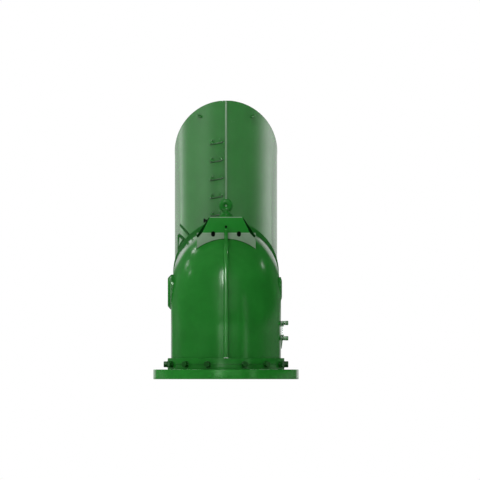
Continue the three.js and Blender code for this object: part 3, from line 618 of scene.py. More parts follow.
# inspection covers
bm = bmesh.new()
lathe(bm, [(0, -766), (238, -766), (240, -768), (239, -771), (201, -803), (195, -807.4), (188, -808.7), (60, -808.7), (56, -806), (0, -806)], "x", (0, 262, 1208), n=112)
screw = bmesh.new()
lathe(screw, [(0, 0), (13, 0), (13, 3.5), (12, 4.6), (7.2, 4.6), (6.2, 1.2), (0, 1.2)], n=24)
for k in range(10):
    a = 2 * math.pi * (k + 0.5) / 10
    add_mesh(bm, screw, aim(Vector((-1, 0, 0)), Vector((-804.6, 262 + 158 * math.cos(a), 1208 + 158 * math.sin(a)))))
place(put("left_cover_skin", bm, [M_COVER]), "frame", "green_casing_paint", "left_inspection_cover")
bm = bmesh.new()
lathe(bm, [(0, 765.6), (146, 765.6), (148, 767), (143, 770.6), (118, 776.4), (112, 777.2), (64, 777.4), (60, 775), (0, 775)], "x", (0, 280, 1250), n=96)
b8 = bmesh.new()
lathe(b8, [(0, 0), (12.5, 0), (12.5, 0.7), (11.5, 1.4), (6.5, 1.4), (5.8, 0.4), (0, 0.4)], n=24)
for k in range(8):
    a = 2 * math.pi * (k + 0.5) / 8
    add_mesh(bm, b8, aim((1, 0, 0), (776.6, 280 + 92 * math.cos(a), 1250 + 92 * math.sin(a)), a))
b8.free()
place(put("right_cover_skin", bm, [M_COVER]), "frame", "green_casing_paint", "right_inspection_cover")

# ---------- spine rib ----------
RIB_TOP = 2085.0
bm = bmesh.new()
stations = []  # (crest y, z), (foot y, z)
for k in range(7):
    z = 301 + (ZB - 301) * k / 6
    stations.append(((-(LEG + 58), z), (-(LEG - 20), z)))
for k in range(1, 41):
    th = rad(52.0) * k / 40
    r = BEND + leg_r(th)
    stations.append(((BEND - (r + 58) * math.cos(th), ZB + (r + 58) * math.sin(th)), (BEND - (r - 20) * math.cos(th), ZB + (r - 20) * math.sin(th))))
def rib_ring(crest, foot):
    c, f = Vector((0, *crest)), Vector((0, *foot))
    d = (f - c).normalized()
    sec = [(34.0, (f - c).length), (29.5, 30.0), (28.0, 15.0), (25.5, 8.0), (21.0, 3.6), (14.5, 1.1), (7.0, 0.15)]
    left = [tuple(c + d * dd + Vector((-x, 0, 0))) for x, dd in sec]
    right = [tuple(c + d * dd + Vector((x, 0, 0))) for x, dd in reversed(sec)]
    return left + right
loft(bm, [rib_ring(*s) for s in stations])
rib = put("spine_rib_skin", bm, [M_RIB], sharp=50)
bm = bmesh.new()
yc, zc = stations[-1][0]
tab = [(yc + 1, zc - 6), (-84, 1962), (-74, 1990), (-72, 2006), (-72, RIB_TOP - 6), (-66, RIB_TOP), (3.6, RIB_TOP), (3.6, 1800), (-160, 1760)]
prism(bm, tab, "yz", -24.5, 24.5)
tabo = put("rib_head", bm, [M_CAST], bevel=5, seg=3)
place(tabo, "frame", "green_casing_paint")
# a pale block at the rib's foot, a painted highlight on the rib's lower end
bm = bmesh.new()
block(bm, -29, 29, -(LEG + 52), -(LEG + 1.5), 293.4, 300.6)
place(put("rib_foot_highlight_block", bm, [M_RIB_FOOT_HIGHLIGHT], bevel=1.2, seg=2), "frame", "machined_steel")
place(rib, "frame", "green_casing_paint", "spine_rib")

# ---------- saddle plate, hood, eye ----------
def slot_pts(x, n=10):
    return [(x + 28 * math.cos(rad(180 * k / n)), 2027 + 28 * math.sin(rad(180 * k / n))) for k in range(n + 1)] + [(x + 28 * math.cos(rad(180 + 180 * k / n)), 2007 + 28 * math.sin(rad(180 + 180 * k / n))) for k in range(n + 1)]
bm = bmesh.new()
prism(bm, [(-404, 1750), (412, 1750), (412, 2034), (-404, 2034)], "xz", 5, 35)
web = put("saddle_plate_skin", bm, [M_WEB], bevel=3, seg=2)
cb = bmesh.new()
for x in (-179, 179):
    prism(cb, slot_pts(x), "xz", -80, 80)
cut(web, put("cutter", cb, [M_WEB]))
resharpen(web)
place(web, "frame", "grey_green_paint", "saddle_plate")

bm = bmesh.new()
f = [(-330, 2034.5), (330, 2034.5), (226, 2252), (-226, 2252)]
b = [(-412, 1985), (412, 1985), (234, 2252), (-234, 2252)]
loft(bm, [[(x, 5, z) for x, z in f], [(x, 330, z) for x, z in b]])
hood = put("lifting_hood_skin", bm, [M_HOOD, M_HOOD_SIDE_SHADE, M_INSIDE_SHADE], bevel=7, seg=3)
# the side faces take the near-black green, painted shade on the hood's flanks
for poly in hood.data.polygons:
    if abs(poly.normal.x) > 0.8:
        poly.material_index = 1
# the hollow's faces take the near-black material, painted shade inside the hood
cb = bmesh.new()
fi = [(-347, 1940), (347, 1940), (211, 2226), (-211, 2226)]
bi = [(-449, 1880), (449, 1880), (222, 2226), (-222, 2226)]
loft(cb, [[(x, 31, z) for x, z in fi], [(x, 304, z) for x, z in bi]], mat=2)
inner = put("cutter", cb, [M_HOOD, M_HOOD_SIDE_SHADE, M_INSIDE_SHADE])
cut(hood, inner)
def cutter(make):
    cb = bmesh.new()
    make(cb)
    return put("cutter", cb, [M_HOOD, M_HOOD_SIDE_SHADE, M_INSIDE_SHADE])
for x in (-179, 179):
    cut(hood, cutter(lambda cb: prism(cb, slot_pts(x), "xz", -80, 60, mat=2)))
cut(hood, cutter(lambda cb: lathe(cb, [(0, -80), (18, -80), (18, 60), (0, 60)], "y", (0, 0, 2117), n=32, mat=2)))
cut(hood, cutter(lambda cb: block(cb, -600, 600, -60, 35.4, 1800, 2034.4, mat=2)))
cut(hood, cutter(lambda cb: lathe(cb, [(0, 2200), (44, 2200), (44, 2300), (0, 2300)], "z", (0, 150, 0), n=48, mat=2)))
resharpen(hood, 35)
place(hood, "frame", "green_casing_paint", "lifting_hood")
# a near-black sheet just behind the hood's front, painted shade seen through its slots
bm = bmesh.new()
block(bm, -216, 216, 44, 48, 1964, 2180)
place(put("hood_shade_sheet", bm, [M_INSIDE_SHADE], bevel=1), "frame", "black_plastic")

# a pale bar along the hood's top front edge: a painted highlight
bm = bmesh.new()
pipe(bm, [(x, 6.5, 2249.0) for x in range(-222, 223, 37)], 4.2, 12)
place(put("hood_top_edge_highlight", bm, [M_EDGE_HIGHLIGHT], sharp=60), "frame", "green_casing_paint")
# pale bars along the saddle plate's top edge: a painted highlight
bm = bmesh.new()
for x0, x1 in ((-330, -212), (-146, -30), (30, 146), (212, 330)):
    pipe(bm, [(x0 + (x1 - x0) * k / 5, 5.5, 2030.0) for k in range(6)], 3.4, 12)
place(put("saddle_plate_top_highlight", bm, [M_EDGE_HIGHLIGHT], sharp=60), "frame", "grey_green_paint")
# thin laps on the hood's sides in the same near-black green, painted shade
for sg in (-1, 1):
    bm = bmesh.new()
    pts = [(sg * x, z) for x, z in ((333, 2033), (345, 2040), (374, 2040), (409, 1996), (409, 1984), (400, 1973), (388, 1970))]
    prism(bm, pts if sg > 0 else pts[::-1], "xz", 0.5, 4.6)
    place(put("hood_side_lap", bm, [M_HOOD_SIDE_SHADE], bevel=1.2), "frame", "green_casing_paint")

# weld beads where the saddle plate meets the casing, in near-black green: painted shade along the joint
bm = bmesh.new()
for y in (4, 36):
    line = []
    for k in range(121):
        x = -400 + 808 * k / 120
        th, z = skin_z(x, y)
        line.append((x, y, z + 1.0))
    wob = [(x, y + 0.8 * math.sin(k * 2.1), z + 0.9 * math.sin(k * 1.7)) for k, (x, y, z) in enumerate(line)]
    pipe(bm, wob, 5.5, 10)
place(put("saddle_weld_beads", bm, [M_WELD_SHADE], sharp=60), "frame", "grey_green_paint")

bm = bmesh.new()
lathe(bm, [(43.5, 2252.4), (93, 2252.4), (95, 2254.4), (95, 2270), (92, 2274), (43.5, 2274)], "z", (0, 150, 0), n=72)
place(put("eye_washer_skin", bm, [M_HOOD]), "frame", "green_fabrication_paint", "eye_washer")
bm = bmesh.new()
tor = []
for i in range(64):
    a = 2 * math.pi * i / 64
    tor.append([((56 + 40 * math.cos(t)) * math.cos(a), 150 + 40 * math.sin(t), 2409 + (56 + 40 * math.cos(t)) * math.sin(a)) for t in [2 * math.pi * k / 28 for k in range(28)]])
loft(bm, tor, loop=True)
prof = [(0, 2190), (62, 2190), (62, 2216), (40, 2216), (40, 2274.6), (86, 2274.6), (88, 2277), (88, 2286), (85, 2290)]
prof += [(85 - 33 * math.sin(rad(a)), 2290 + 26 * (1 - math.cos(rad(a)))) for a in (15, 35, 55, 75, 90)] + [(49, 2335), (52, 2352), (0, 2352)]
lathe(bm, prof, "z", (0, 150, 0), n=64)
place(put("lifting_eye_skin", bm, [M_EYE], sharp=45), "eye", "green_fabrication_paint", "lifting_eye")

bm = bmesh.new()
lathe(bm, [(0, -236), (15.5, -236), (15.5, -286), (19, -286), (19, -289), (25, -289), (27.5, -291), (28, -294), (28, -309), (26, -312.5), (10, -312.5), (8, -310), (0, -310)], "x", (0, 60, 2203), n=48)
for k in range(24):
    a = 2 * math.pi * k / 24
    block(bm, -308, -292, -1.5, 1.5, 27, 28.6, m=Matrix.Translation((0, 60, 2203)) @ Matrix.Rotation(a, 4, "X"))
place(put("breather_skin", bm, [M_BLACK]), "frame", "black_plastic", "breather")

# ---------- oil level gauge ----------
def cock(name, node, z, up):
    bm = bmesh.new()
    lathe(bm, [(0, 764.8), (26, 764.8), (28, 767), (28, 772), (22, 774), (22, 779), (30, 781), (30, 797), (24, 801), (22, 806), (29, 808), (30, 811), (30, 823), (27, 826), (0, 826)], "x", (0, 0, z), n=48)
    nut = hex_bolt(36, 16)
    s = 1 if up else -1
    add_mesh(bm, nut, aim((0, 0, s), (785, 0, z + s * 34)))
    nut.free()
    lathe(bm, [(0, z), (16, z), (16, z + s * 36), (0, z + s * 36)], "z", (785, 0, 0), n=32)
    return bm
bm = cock("u", "", 781, False)
place(put("gauge_cock_upper_skin", bm, [M_SMALL], sharp=28), "frame", "green_fabrication_paint", "gauge_cock_upper")
bm = cock("l", "", 568, True)
loft(bm, [[(765.5 + dx * s + o, dy * s, z) for dx, dy in ((0, -14), (22, -14), (22, 14), (0, 14))] for z, s, o in ((424, 0.35, 0), (450, 0.5, 0), (500, 0.78, 0), (545, 1.0, 0), (556, 1.0, 0))])
place(put("gauge_cock_lower_skin", bm, [M_SMALL], sharp=28), "frame", "green_fabrication_paint", "gauge_cock_lower")
for nm, node, body, z in (("u", "gauge_handle_upper", "handle_upper", 781), ("l", "gauge_handle_lower", "handle_lower", 568)):
    bm = bmesh.new()
    lathe(bm, [(0, 826.8), (28, 826.8), (30, 829), (30, 860), (27, 864.5), (20, 866), (0, 866)], "x", (0, 0, z), n=48)
    rings = []
    for y, w, t in ((0, 12, 9), (30, 11, 8), (80, 9, 7), (104, 10, 8), (114, 9, 7), (118, 5, 4)):
        rings.append([(847 + t * math.cos(q), y, z + w * math.sin(q)) for q in [2 * math.pi * k / 20 for k in range(20)]])
    loft(bm, rings)
    place(put(node + "_skin", bm, [M_SMALL], sharp=35), body, "green_fabrication_paint", node)
bm = bmesh.new()
lathe(bm, [(9, 621.5), (13, 621.5), (13, 730.5), (9, 730.5)], "z", (785, 0, 0), n=32)
place(put("sight_glass_skin", bm, [M_GLASS]), "frame", "gauge_glass", "sight_glass")

# drain plug
m60 = Matrix.Rotation(rad(60), 4, "Z")
bm = bmesh.new()
lathe(bm, [(0, 750), (56, 750), (52, 765), (48, 769), (46, 770), (46, 772), (44, 775), (0, 775)], "x", (0, 0, 345), n=48)
nut = hex_bolt(58, 32)
add_mesh(bm, nut, aim((1, 0, 0), (775, 0, 345)))
nut.free()
bmesh.ops.transform(bm, matrix=m60, verts=bm.verts)
place(put("drain_plug_skin", bm, [M_STEEL], sharp=28), "frame", "machined_steel", "drain_plug")

# ---------- drum, shutter ring, stop bracket ----------
def ported(name, prof, mat, width=222.0):
    bm = bmesh.new()
    lathe(bm, prof, "y", (0, 0, AZ), n=160)
    ob = put(name, bm, [mat], sharp=40)
    cb = bmesh.new()
    for i in range(4):
        m = Matrix.Translation((0, 0, AZ)) @ Matrix.Rotation(i * math.pi / 2, 4, "Y")
        w, d, rr = width, 80.0, 26.0
        pts = []
        for sx, sy, a0 in ((1, -1, -90), (1, 1, 0), (-1, 1, 90), (-1, -1, 180)):
            for k in range(7):
                a = rad(a0 + k * 15)
                pts.append((985 + sy * (d - rr) + rr * math.sin(a), sx * (w - rr) + rr * math.cos(a)))
        loft(cb, [[tuple(m @ Vector((x, p[0], p[1]))) for p in pts] for x in (600, 760)])
    cut(ob, put("cutter", cb, [mat]))
    resharpen(ob, 35)
    return ob
drum = ported("air_drum_skin", [(DRUM_I, 816.5), (DRUM_R, 816.5), (DRUM_R, 1110), (DRUM_I, 1110)], M_STACK)
place(drum, "frame", "green_fabrication_paint", "air_drum")
place(disc("drum_flange", 816.5, 836.5, 690, M_FLANGE), "frame", "green_fabrication_paint")
bm = bmesh.new()
nut = hex_bolt(34, 15, 19, 3)
for k in range(17):
    a = rad(10 + 160 * k / 16)
    add_mesh(bm, nut, aim((0, 1, 0), (714 * math.cos(a), 836.4, HOOP_Z + 714 * math.sin(a)), a))
nut.free()
place(put("drum_flange_nuts", bm, [M_BOLT], sharp=24), "frame", "green_fabrication_paint")
ring = ported("shutter_ring_skin", [(706, 881), (717, 880.5), (718, 882), (718, 1094), (717, 1095.5), (706, 1095.5)], M_PLATE)
place(ring, "shutter", "green_fabrication_paint", "shutter_ring")
bm = bmesh.new()
ml = Matrix.Translation((0, 0, AZ)) @ Matrix.Rotation(rad(180 + 49.2), 4, "Y")
rings = []
for x, hy, hz in ((712, 25, 17), (930, 24, 16), (960, 22, 15.5), (974, 18, 13), (980, 11, 8)):
    rings.append([tuple(ml @ Vector((x, 987 + hy * max(-1, min(1, 1.35 * math.cos(q))), hz * max(-1, min(1, 1.35 * math.sin(q)))))) for q in [2 * math.pi * k / 24 for k in range(24)]])
loft(bm, rings)
block(bm, 716, 726, 925, 1049, -60, 60, m=ml)
b12 = hex_bolt(24, 10, 15, 2.5)
for yy in (940, 1034):
    for zz in (-42, 42):
        add_mesh(bm, b12, ml @ Matrix.Translation((726, yy, zz)) @ Matrix.Rotation(math.pi / 2, 4, "Y"))
b12.free()
place(put("shutter_lever", bm, [M_LEVER], sharp=35, bevel=0), "shutter", "green_fabrication_paint")
at = lambda rr, a: (-rr * math.cos(rad(a)), AZ + rr * math.sin(rad(a)))
def rim(a):
    """Distance from the shaft's axis to just outside the flange's rim, at a degrees above level."""
    d = HOOP_Z - AZ
    return d * math.sin(rad(a)) + math.sqrt((HOOP[0] + 0.7) ** 2 - (d * math.cos(rad(a))) ** 2)
outer = [at(rim(28.5 + k * 1.1), 28.5 + k * 1.1) for k in range(15)] + [at(897, 43.9), at(897, 41.4)]
bm = bmesh.new()
prism(bm, outer, "xz", 820, 860)
brk = put("stop_bracket_skin", bm, [M_LEVER], bevel=3, seg=2)
cb = bmesh.new()
prism(cb, [at(796, 34.2), at(798.5, 35.8), at(801, 37.5), at(803.5, 39.2), at(806, 41.0), at(856, 41.0)], "xz", 790, 890)
cut(brk, put("cutter", cb, [M_PLATE]))
resharpen(brk)
place(brk, "frame", "green_fabrication_paint", "stop_bracket")

# ---------- stack ----------
NS = 144
def half_space(sign, off):
    """A big block on one side of the mitre plane."""
    cb = bmesh.new()
    m = Matrix.Translation((0, YS, ZM + off)) @ Matrix.Rotation(rad(-45), 4, "X")
    block(cb, -1500, 1500, -4000, 4000, 0 if sign > 0 else -6000, 6000 if sign > 0 else 0, m=m)
    return cb
def cyl(r, a, b, axis, at, n=NS):
    cb = bmesh.new()
    lathe(cb, [(0, a), (r, a), (r, b), (0, b)], axis, at, n=n)
    return cb
tube = put("stack_tube_skin", cyl(RS, Z0S, 4300, "z", (0, YS, 0)), [M_STACK])
cut(tube, put("c", cyl(DRUM_R, 1110.5, YS + 60, "y", (0, 0, AZ)), [M_STACK]), "UNION", solver="MANIFOLD")
cut(tube, put("c", cyl(300, YS + 200, 2600, "y", (0, 0, AZ), 96), [M_STACK]), "UNION", solver="MANIFOLD")
cut(tube, put("c", cyl(RS - WALL_S, Z0S + WALL_S, 4400, "z", (0, YS, 0)), [M_STACK]), solver="MANIFOLD")
cut(tube, put("c", cyl(DRUM_I, 1090, YS + 60, "y", (0, 0, AZ)), [M_STACK]), solver="MANIFOLD")
cut(tube, put("c", cyl(286, YS + 180, 2620, "y", (0, 0, AZ), 96), [M_STACK]), solver="MANIFOLD")
cut(tube, put("c", half_space(1, -0.4), [M_STACK]), solver="MANIFOLD")
resharpen(tube, 35)
place(tube, "frame", "green_fabrication_paint", "stack_tube")
bm = bmesh.new()
lathe(bm, [(RS - WALL_S, YS - 900), (RS, YS - 900), (RS, YM - 3), (RS - 3, YM), (RS - WALL_S - 27, YM), (RS - WALL_S - 30, YM - 3), (RS - WALL_S - 30, YM - 30), (RS - WALL_S, YM - 30)], "y", (0, 0, ZM), n=NS)
outlet = put("stack_outlet_skin", bm, [M_STACK], sharp=35)
cut(outlet, put("c", half_space(-1, 0.4), [M_STACK]))
resharpen(outlet, 35)
place(outlet, "frame", "green_fabrication_paint", "stack_outlet")
# weld beads: mitre and drum joint
bm = bmesh.new()
def bead(points, r, bm=bm):
    pts = [Vector(p) for p in points]
    rings = []
    for i, p in enumerate(pts):
        t = (pts[(i + 1) % len(pts)] - pts[i - 1]).normalized()
        u = (p - Vector((0, YS, p.z))).normalized()
        u = (u - t * u.dot(t)).normalized()
        v = t.cross(u)
        rr = r * (1 + 0.10 * math.sin(i * 2.3))
        rings.append([tuple(p + (u * math.cos(q) + v * math.sin(q)) * rr) for q in [2 * math.pi * k / 8 for k in range(8)]])
    loft(bm, rings, loop=True)
bead([(RS * 0.998 * math.cos(t), YS + RS * 0.998 * math.sin(t), ZM - RS * 0.998 * math.sin(t) - 0.2) for t in [2 * math.pi * k / 360 for k in range(360)]], 3.4)
for v in bm.verts:
    v.co.z = min(v.co.z, ZM + RS - 0.2)
join = []
for k in range(300):
    t = 2 * math.pi * k / 300
    x, z = 700 * math.cos(t), AZ + 700 * math.sin(t)
    join.append((x, YS - math.sqrt(RS * RS - x * x), z))
bead(join, 5.0)
place(put("stack_weld_beads", bm, [M_STACK], sharp=60), "frame", "green_fabrication_paint")

# the strip on the stack
bm = bmesh.new()
yw = lambda x: YS - math.sqrt(RS * RS - x * x)
block(bm, -13.8, 13.8, YS - RS - 21, YS - RS - 0.4, 2200, ZM + RS - 4.5)
place(put("stack_strip_skin", bm, [M_STRIP], bevel=3.0, seg=2), "frame", "grey_green_paint", "stack_strip")
# step irons
for i, z in enumerate(RUNGS):
    Q = lambda x, out, dz: (x, yw(x) - out, z + dz)
    path = catmull([Q(-190, -2, 46), Q(-196, 40, 34), Q(-212, 118, -6), Q(-198, 136, -10), Q(-132, 150, 3), Q(-66, 136, 16), Q(-52, 118, 22), Q(-72, 40, 48), Q(-78, -2, 56)], 8)
    bm = bmesh.new()
    pipe(bm, path, 11.5, 16)
    for f in bm.faces:
        c = f.calc_center_median()
        f.material_index = 0 if yw(c.x) - c.y > 112 else 1
    for x, dz in ((-190, 46), (-78, 56)):
        y = yw(x)
        nrm = Vector((x, y - YS, 0)).normalized()
        m = aim(nrm, Vector((x, y, z + dz)) - nrm * 1.0)
        pad = bmesh.new()
        lathe(pad, [(0, 0), (20, 0), (20, 3), (18, 5), (14, 7), (12, 11), (0, 11)], n=32, mat=1)
        add_mesh(bm, pad, m)
        pad.free()
    place(put("step_iron_%d_skin" % (i + 1), bm, [M_IRON, M_STACK], sharp=40), "frame", "green_fabrication_paint", "step_iron_%d" % (i + 1))
# lugs
for nm, sg in (("stack_lug_left", -1), ("stack_lug_right", 1)):
    a = math.asin(sg * 361 / RS)
    m = Matrix.Translation((0, YS, 3653)) @ Matrix.Rotation(a, 4, "Z") @ Matrix.Translation((0, -RS, 0)) @ Matrix.Rotation(rad(-sg * 24), 4, "Y")
    bm = bmesh.new()
    outl = [(34, 8), (34, -30)] + [(34 * math.cos(rad(t)), -30 - 32 * math.sin(rad(t))) for t in range(15, 180, 15)] + [(-34, -30), (-34, 8)]
    hole = [(13 * math.cos(rad(t)), -34 + 13 * math.sin(rad(t))) for t in range(0, 360, 15)]
    prism(bm, outl, "xy", -10, 10)
    lug = put(nm + "_skin", bm, [M_STACK], bevel=2.5)
    cb = bmesh.new()
    prism(cb, hole, "xy", -40, 40)
    cut(lug, put("c", cb, [M_STACK]))
    resharpen(lug)
    ms = Matrix.Translation((0, 0, -DROP / 1000.0)) @ Matrix.Scale(0.001, 4) @ m @ Matrix.Scale(1000, 4) @ Matrix.Translation((0, 0, DROP / 1000.0))
    lug.data.transform(ms)
    place(lug, "frame", "green_fabrication_paint", nm)

# ---------- rear stand ----------
bm = bmesh.new()
block(bm, -450, 450, 1500, 2220, 0, 35)
plate = put("stand_foot_plate", bm, [M_PLATE], bevel=4)
place(plate, "frame", "green_fabrication_paint")
bm = bmesh.new()
lathe(bm, [(305, 30), (330, 30), (330, 606), (338, 612), (417, 612), (420, 615), (420, 636), (417, 639.6), (305, 639.6)], "z", (0, YS, 0), n=96)
for i in range(4):
    m = Matrix.Translation((0, YS, 0)) @ Matrix.Rotation(rad(45 + i * 90), 4, "Z")
    pts = [(322, 33), (468, 33), (470, 60), (345, 420), (322, 420)]
    loft(bm, [[tuple(m @ Vector((p[0], d, p[1]))) for p in pts] for d in (-11, 11)])
stand = put("rear_stand_skin", bm, [M_PLATE], sharp=35)
place(stand, "frame", "green_fabrication_paint", "rear_stand")
bm = bmesh.new()
nut = hex_bolt(46, 24, 30, 4)
for x in (-400, 400):
    for y in (1550, 2170):
        add_mesh(bm, nut, aim((0, 0, 1), (x, y, 34.8), x * 0.01))
        lathe(bm, [(0, 40), (13, 40), (13, 74), (11, 77), (0, 77)], "z", (x, y, 0), n=24)
nut.free()
place(put("stand_anchor_nuts", bm, [M_BOLT], sharp=24), "frame", "green_fabrication_paint")

# ---------- rear bearing cap and coupling hub ----------
bm = bmesh.new()
lathe(bm, [(116, 1420), (132, 1420), (132, 2598), (140, 2600.8), (297, 2600.8), (300, 2604), (300, 2636), (297, 2640), (180, 2640), (166, 2644), (160, 2650), (160, 2678), (156, 2682), (92, 2682), (88, 2678), (88, 2672), (116, 2672)], "y", (0, 0, AZ), n=112)
place(put("rear_bearing_skin", bm, [M_CAST], sharp=35), "frame", "primed_iron", "rear_bearing_housing")
bm = bmesh.new()
nut = hex_bolt(36, 18, 22, 3)
for k in range(12):
    a = 2 * math.pi * (k + 0.5) / 12
    add_mesh(bm, nut, aim((0, 1, 0), (258 * math.cos(a), 2639.8, AZ + 258 * math.sin(a)), a))
nut.free()
place(put("rear_cap_bolts", bm, [M_BOLT], sharp=24), "frame", "green_fabrication_paint")
bm = bmesh.new()
lathe(bm, [(76, 2690), (117, 2690), (120, 2693), (120, 2728), (126, 2738), (207, 2738), (210, 2741), (210, 2777), (207, 2780), (80, 2780), (76, 2776)], "y", (0, 0, AZ), n=112)
hub = put("coupling_hub_skin", bm, [M_STEEL], sharp=35)
cb = bmesh.new()
for i in range(6):
    a = rad(60 * i)
    lathe(cb, [(0, 2650), (15, 2650), (15, 2800), (0, 2800)], "y", (168 * math.cos(a), 0, AZ - 168 * math.sin(a)), n=32)
cut(hub, put("c", cb, [M_STEEL]))
resharpen(hub)
place(hub, "input", "machined_steel", "coupling_hub")

# ---------- floor, light, camera ----------
def floor_look():
    mat, nt, b = nodes_of("floor_look")
    n = Net(nt)
    nt.links.new(n.ramp(n.noise(0.8, 3.0), [(0.3, (0.80, 0.80, 0.80)), (0.7, (0.84, 0.84, 0.84))]), b.inputs["Base Color"])
    b.inputs["Roughness"].default_value = 0.85
    b.inputs["Specular IOR Level"].default_value = 0.1
    n.bump(b, [(n.noise(120.0, 3.0), 0.03, 0.001)])
    return mat
me = bpy.data.meshes.new("floor")
me.from_pydata([(-40, -40, -0.0105), (40, -40, -0.0105), (40, 40, -0.0105), (-40, 40, -0.0105)], [], [(0, 1, 2, 3)])
me.materials.append(floor_look())
floor = bpy.data.objects.new("floor", me)
bpy.context.scene.collection.objects.link(floor)

scene = bpy.context.scene
scene.view_settings.view_transform = "Standard"
world = bpy.data.worlds.new("studio")
scene.world = world
world.use_nodes = True
nt = world.node_tree
nt.nodes.clear()


def wmath(op, a, b=None, c=None):
    m = nt.nodes.new("ShaderNodeMath")
    m.operation = op
    for i, v in enumerate((a, b, c)):
        if isinstance(v, (int, float)):
            m.inputs[i].default_value = v
        elif v is not None:
            nt.links.new(v, m.inputs[i])
    return m.outputs[0]


def wspan(v, lo, hi, to_lo, to_hi, smooth=True):
    m = nt.nodes.new("ShaderNodeMapRange")
    m.interpolation_type = "SMOOTHSTEP" if smooth else "LINEAR"
    for k, x in (("From Min", lo), ("From Max", hi), ("To Min", to_lo), ("To Max", to_hi)):
        m.inputs[k].default_value = x
    nt.links.new(v, m.inputs["Value"])
    return m.outputs["Result"]


out = nt.nodes.new("ShaderNodeOutputWorld")
tc = nt.nodes.new("ShaderNodeTexCoord")
sep = nt.nodes.new("ShaderNodeSeparateXYZ")
nt.links.new(tc.outputs["Generated"], sep.inputs[0])
wx, wy, wz = sep.outputs
# pale walls round the studio at eye height, as brightness by bearing from the front; 0 is the front, + is the right
WALLS = [(-180, 0.8), (-163, 0.7), (-140, 1.2), (-127, 2.9), (-120, 3.4), (-112, 2.1), (-98, 1.25), (-79, 1.35), (-62, 1.8), (-47, 2.1), (-33, 1.3), (-19, 0.58), (-6, 0.5),
         (35, 0.5), (50, 0.5), (65, 0.85), (73, 1.25), (82, 2.0), (91, 3.2), (101, 4.1), (112, 4.2), (126, 3.0), (143, 1.4), (160, 1.0), (180, 0.8)]
bearing = wmath("ARCTAN2", wx, wmath("MULTIPLY", wy, -1.0))
fac = wmath("MULTIPLY_ADD", bearing, 1 / (2 * math.pi), 0.5)
rmp = nt.nodes.new("ShaderNodeValToRGB")
e = rmp.color_ramp.elements
e[0].position, e[0].color = 0.0, (WALLS[0][1] / 5,) * 3 + (1,)
e[1].position, e[1].color = 1.0, (WALLS[-1][1] / 5,) * 3 + (1,)
for a, v in WALLS[1:-1]:
    k = e.new((a + 180) / 360)
    k.color = (v / 5,) * 3 + (1,)
nt.links.new(fac, rmp.inputs[0])
wall = wmath("MULTIPLY", rmp.outputs[0], 5.0)
near = wspan(wmath("ABSOLUTE", wz), 0.06, 0.17, 1.0, 0.0)
# a soft dome over them, brighter at the front left
lean = wmath("ADD", wmath("MULTIPLY", wx, -0.86), wmath("ADD", wmath("MULTIPLY", wy, -0.34), wmath("MULTIPLY", wz, 0.38)))
dome = wspan(lean, -0.7, 1.0, 0.16, 1.10)
behind = wmath("MULTIPLY", wspan(wy, 0.45, 0.80, 0.0, 1.0), wmath("MULTIPLY", wspan(wz, 0.08, 0.20, 0.0, 1.0), wspan(wz, 0.24, 0.40, 1.0, 0.0)))
level = wmath("ADD", wmath("ADD", wmath("MULTIPLY", wall, near), wmath("MULTIPLY", dome, wmath("SUBTRACT", 1.0, near))), wmath("MULTIPLY", behind, 0.62))
bg = nt.nodes.new("ShaderNodeBackground")
bg.inputs["Strength"].default_value = 1.0
nt.links.new(level, bg.inputs["Color"])
white = nt.nodes.new("ShaderNodeBackground")
white.inputs["Color"].default_value = (1, 1, 1, 1)
lp = nt.nodes.new("ShaderNodeLightPath")
mx = nt.nodes.new("ShaderNodeMixShader")
nt.links.new(lp.outputs["Is Camera Ray"], mx.inputs[0])
nt.links.new(bg.outputs[0], mx.inputs[1])
nt.links.new(white.outputs[0], mx.inputs[2])
nt.links.new(mx.outputs[0], out.inputs[0])


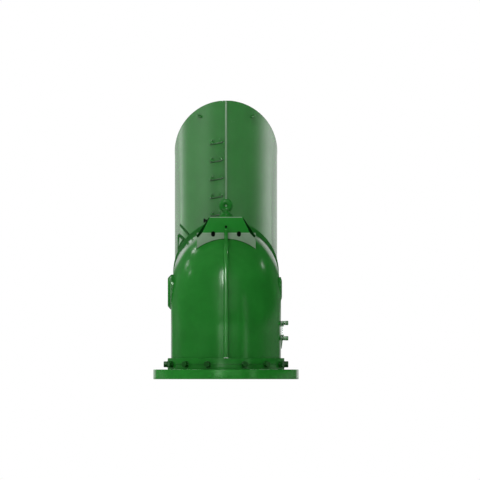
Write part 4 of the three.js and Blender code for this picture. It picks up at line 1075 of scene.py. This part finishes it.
def area(name, where, target, size, power, tall=None, sheen=False):
    """A soft panel; one with sheen is only seen in the lacquer."""
    l = bpy.data.lights.new(name, "AREA")
    l.shape, l.size, l.energy = ("DISK" if tall is None else "RECTANGLE"), size, power
    if tall is not None:
        l.size_y = tall
    o = bpy.data.objects.new(name, l)
    o.location = where
    o.rotation_euler = (Vector(target) - Vector(where)).to_track_quat("-Z", "Y").to_euler()
    scene.collection.objects.link(o)
    o.visible_camera = False
    o.visible_diffuse = not sheen
    return o


CEN = Vector((0, 0.2, 1.3))
area("key", CEN + Vector((-0.114, -0.455, 0.883)) * 9, CEN, 1.3, 110)
area("key_sheen", CEN + Vector((-0.10, -0.52, 0.84)) * 9, CEN, 0.55, 760, 2.6, sheen=True)
for name, way, power in (("rim_right", (0.701, 0.436, 0.562), 60), ("rim_left_a", (-0.523, 0.597, 0.609), 95), ("rim_left_b", (-0.684, 0.531, 0.499), 60), ("rim_left_c", (-0.775, 0.28, 0.566), 40)):
    area(name, CEN + Vector(way) * 9, CEN, 0.16, power, 0.8, sheen=True)
# tall strips in front, no higher than the casing
def strip(name, bearing_deg, reach, width, z0, z1, power):
    b = rad(bearing_deg)
    at = Vector((math.sin(b) * reach, -0.7 - math.cos(b) * reach, (z0 + z1) / 2))
    area(name, at, (0, -0.7, (z0 + z1) / 2), width, power, z1 - z0, sheen=True)
strip("strip_left", -11, 5.0, 1.0, 0.42, 1.7, 62)
strip("strip_front", 2, 5.0, 4.4, 0.42, 1.7, 60)
strip("strip_right", 45, 5.0, 0.7, 0.0, 1.6, 30)
# far panels over the strips, seen by the bend
def panel(name, bearing_deg, elev_deg, wide_deg, tall_deg, radiance, reach=30.0):
    b, e = rad(bearing_deg), rad(elev_deg)
    w, t = reach * rad(wide_deg), reach * rad(tall_deg)
    area(name, CEN + Vector((math.sin(b) * math.cos(e), -math.cos(b) * math.cos(e), math.sin(e))) * reach, CEN, w, radiance * math.pi * w * t, t, sheen=True)
panel("panel_left", -10, 36, 12, 44, 7.0)
panel("panel_front", 0, 44, 52, 44, 2.6)
panel("panel_right", 44, 24, 8, 24, 5.0)

cam = bpy.data.cameras.new("camera")
cam.type = "ORTHO"
cam.ortho_scale = 6.6667
cam.clip_end = 200
co = bpy.data.objects.new("camera", cam)
co.location = (0.1944, -9.0, 1.9233)
co.rotation_euler = (rad(90), 0, 0)
scene.collection.objects.link(co)
scene.camera = co
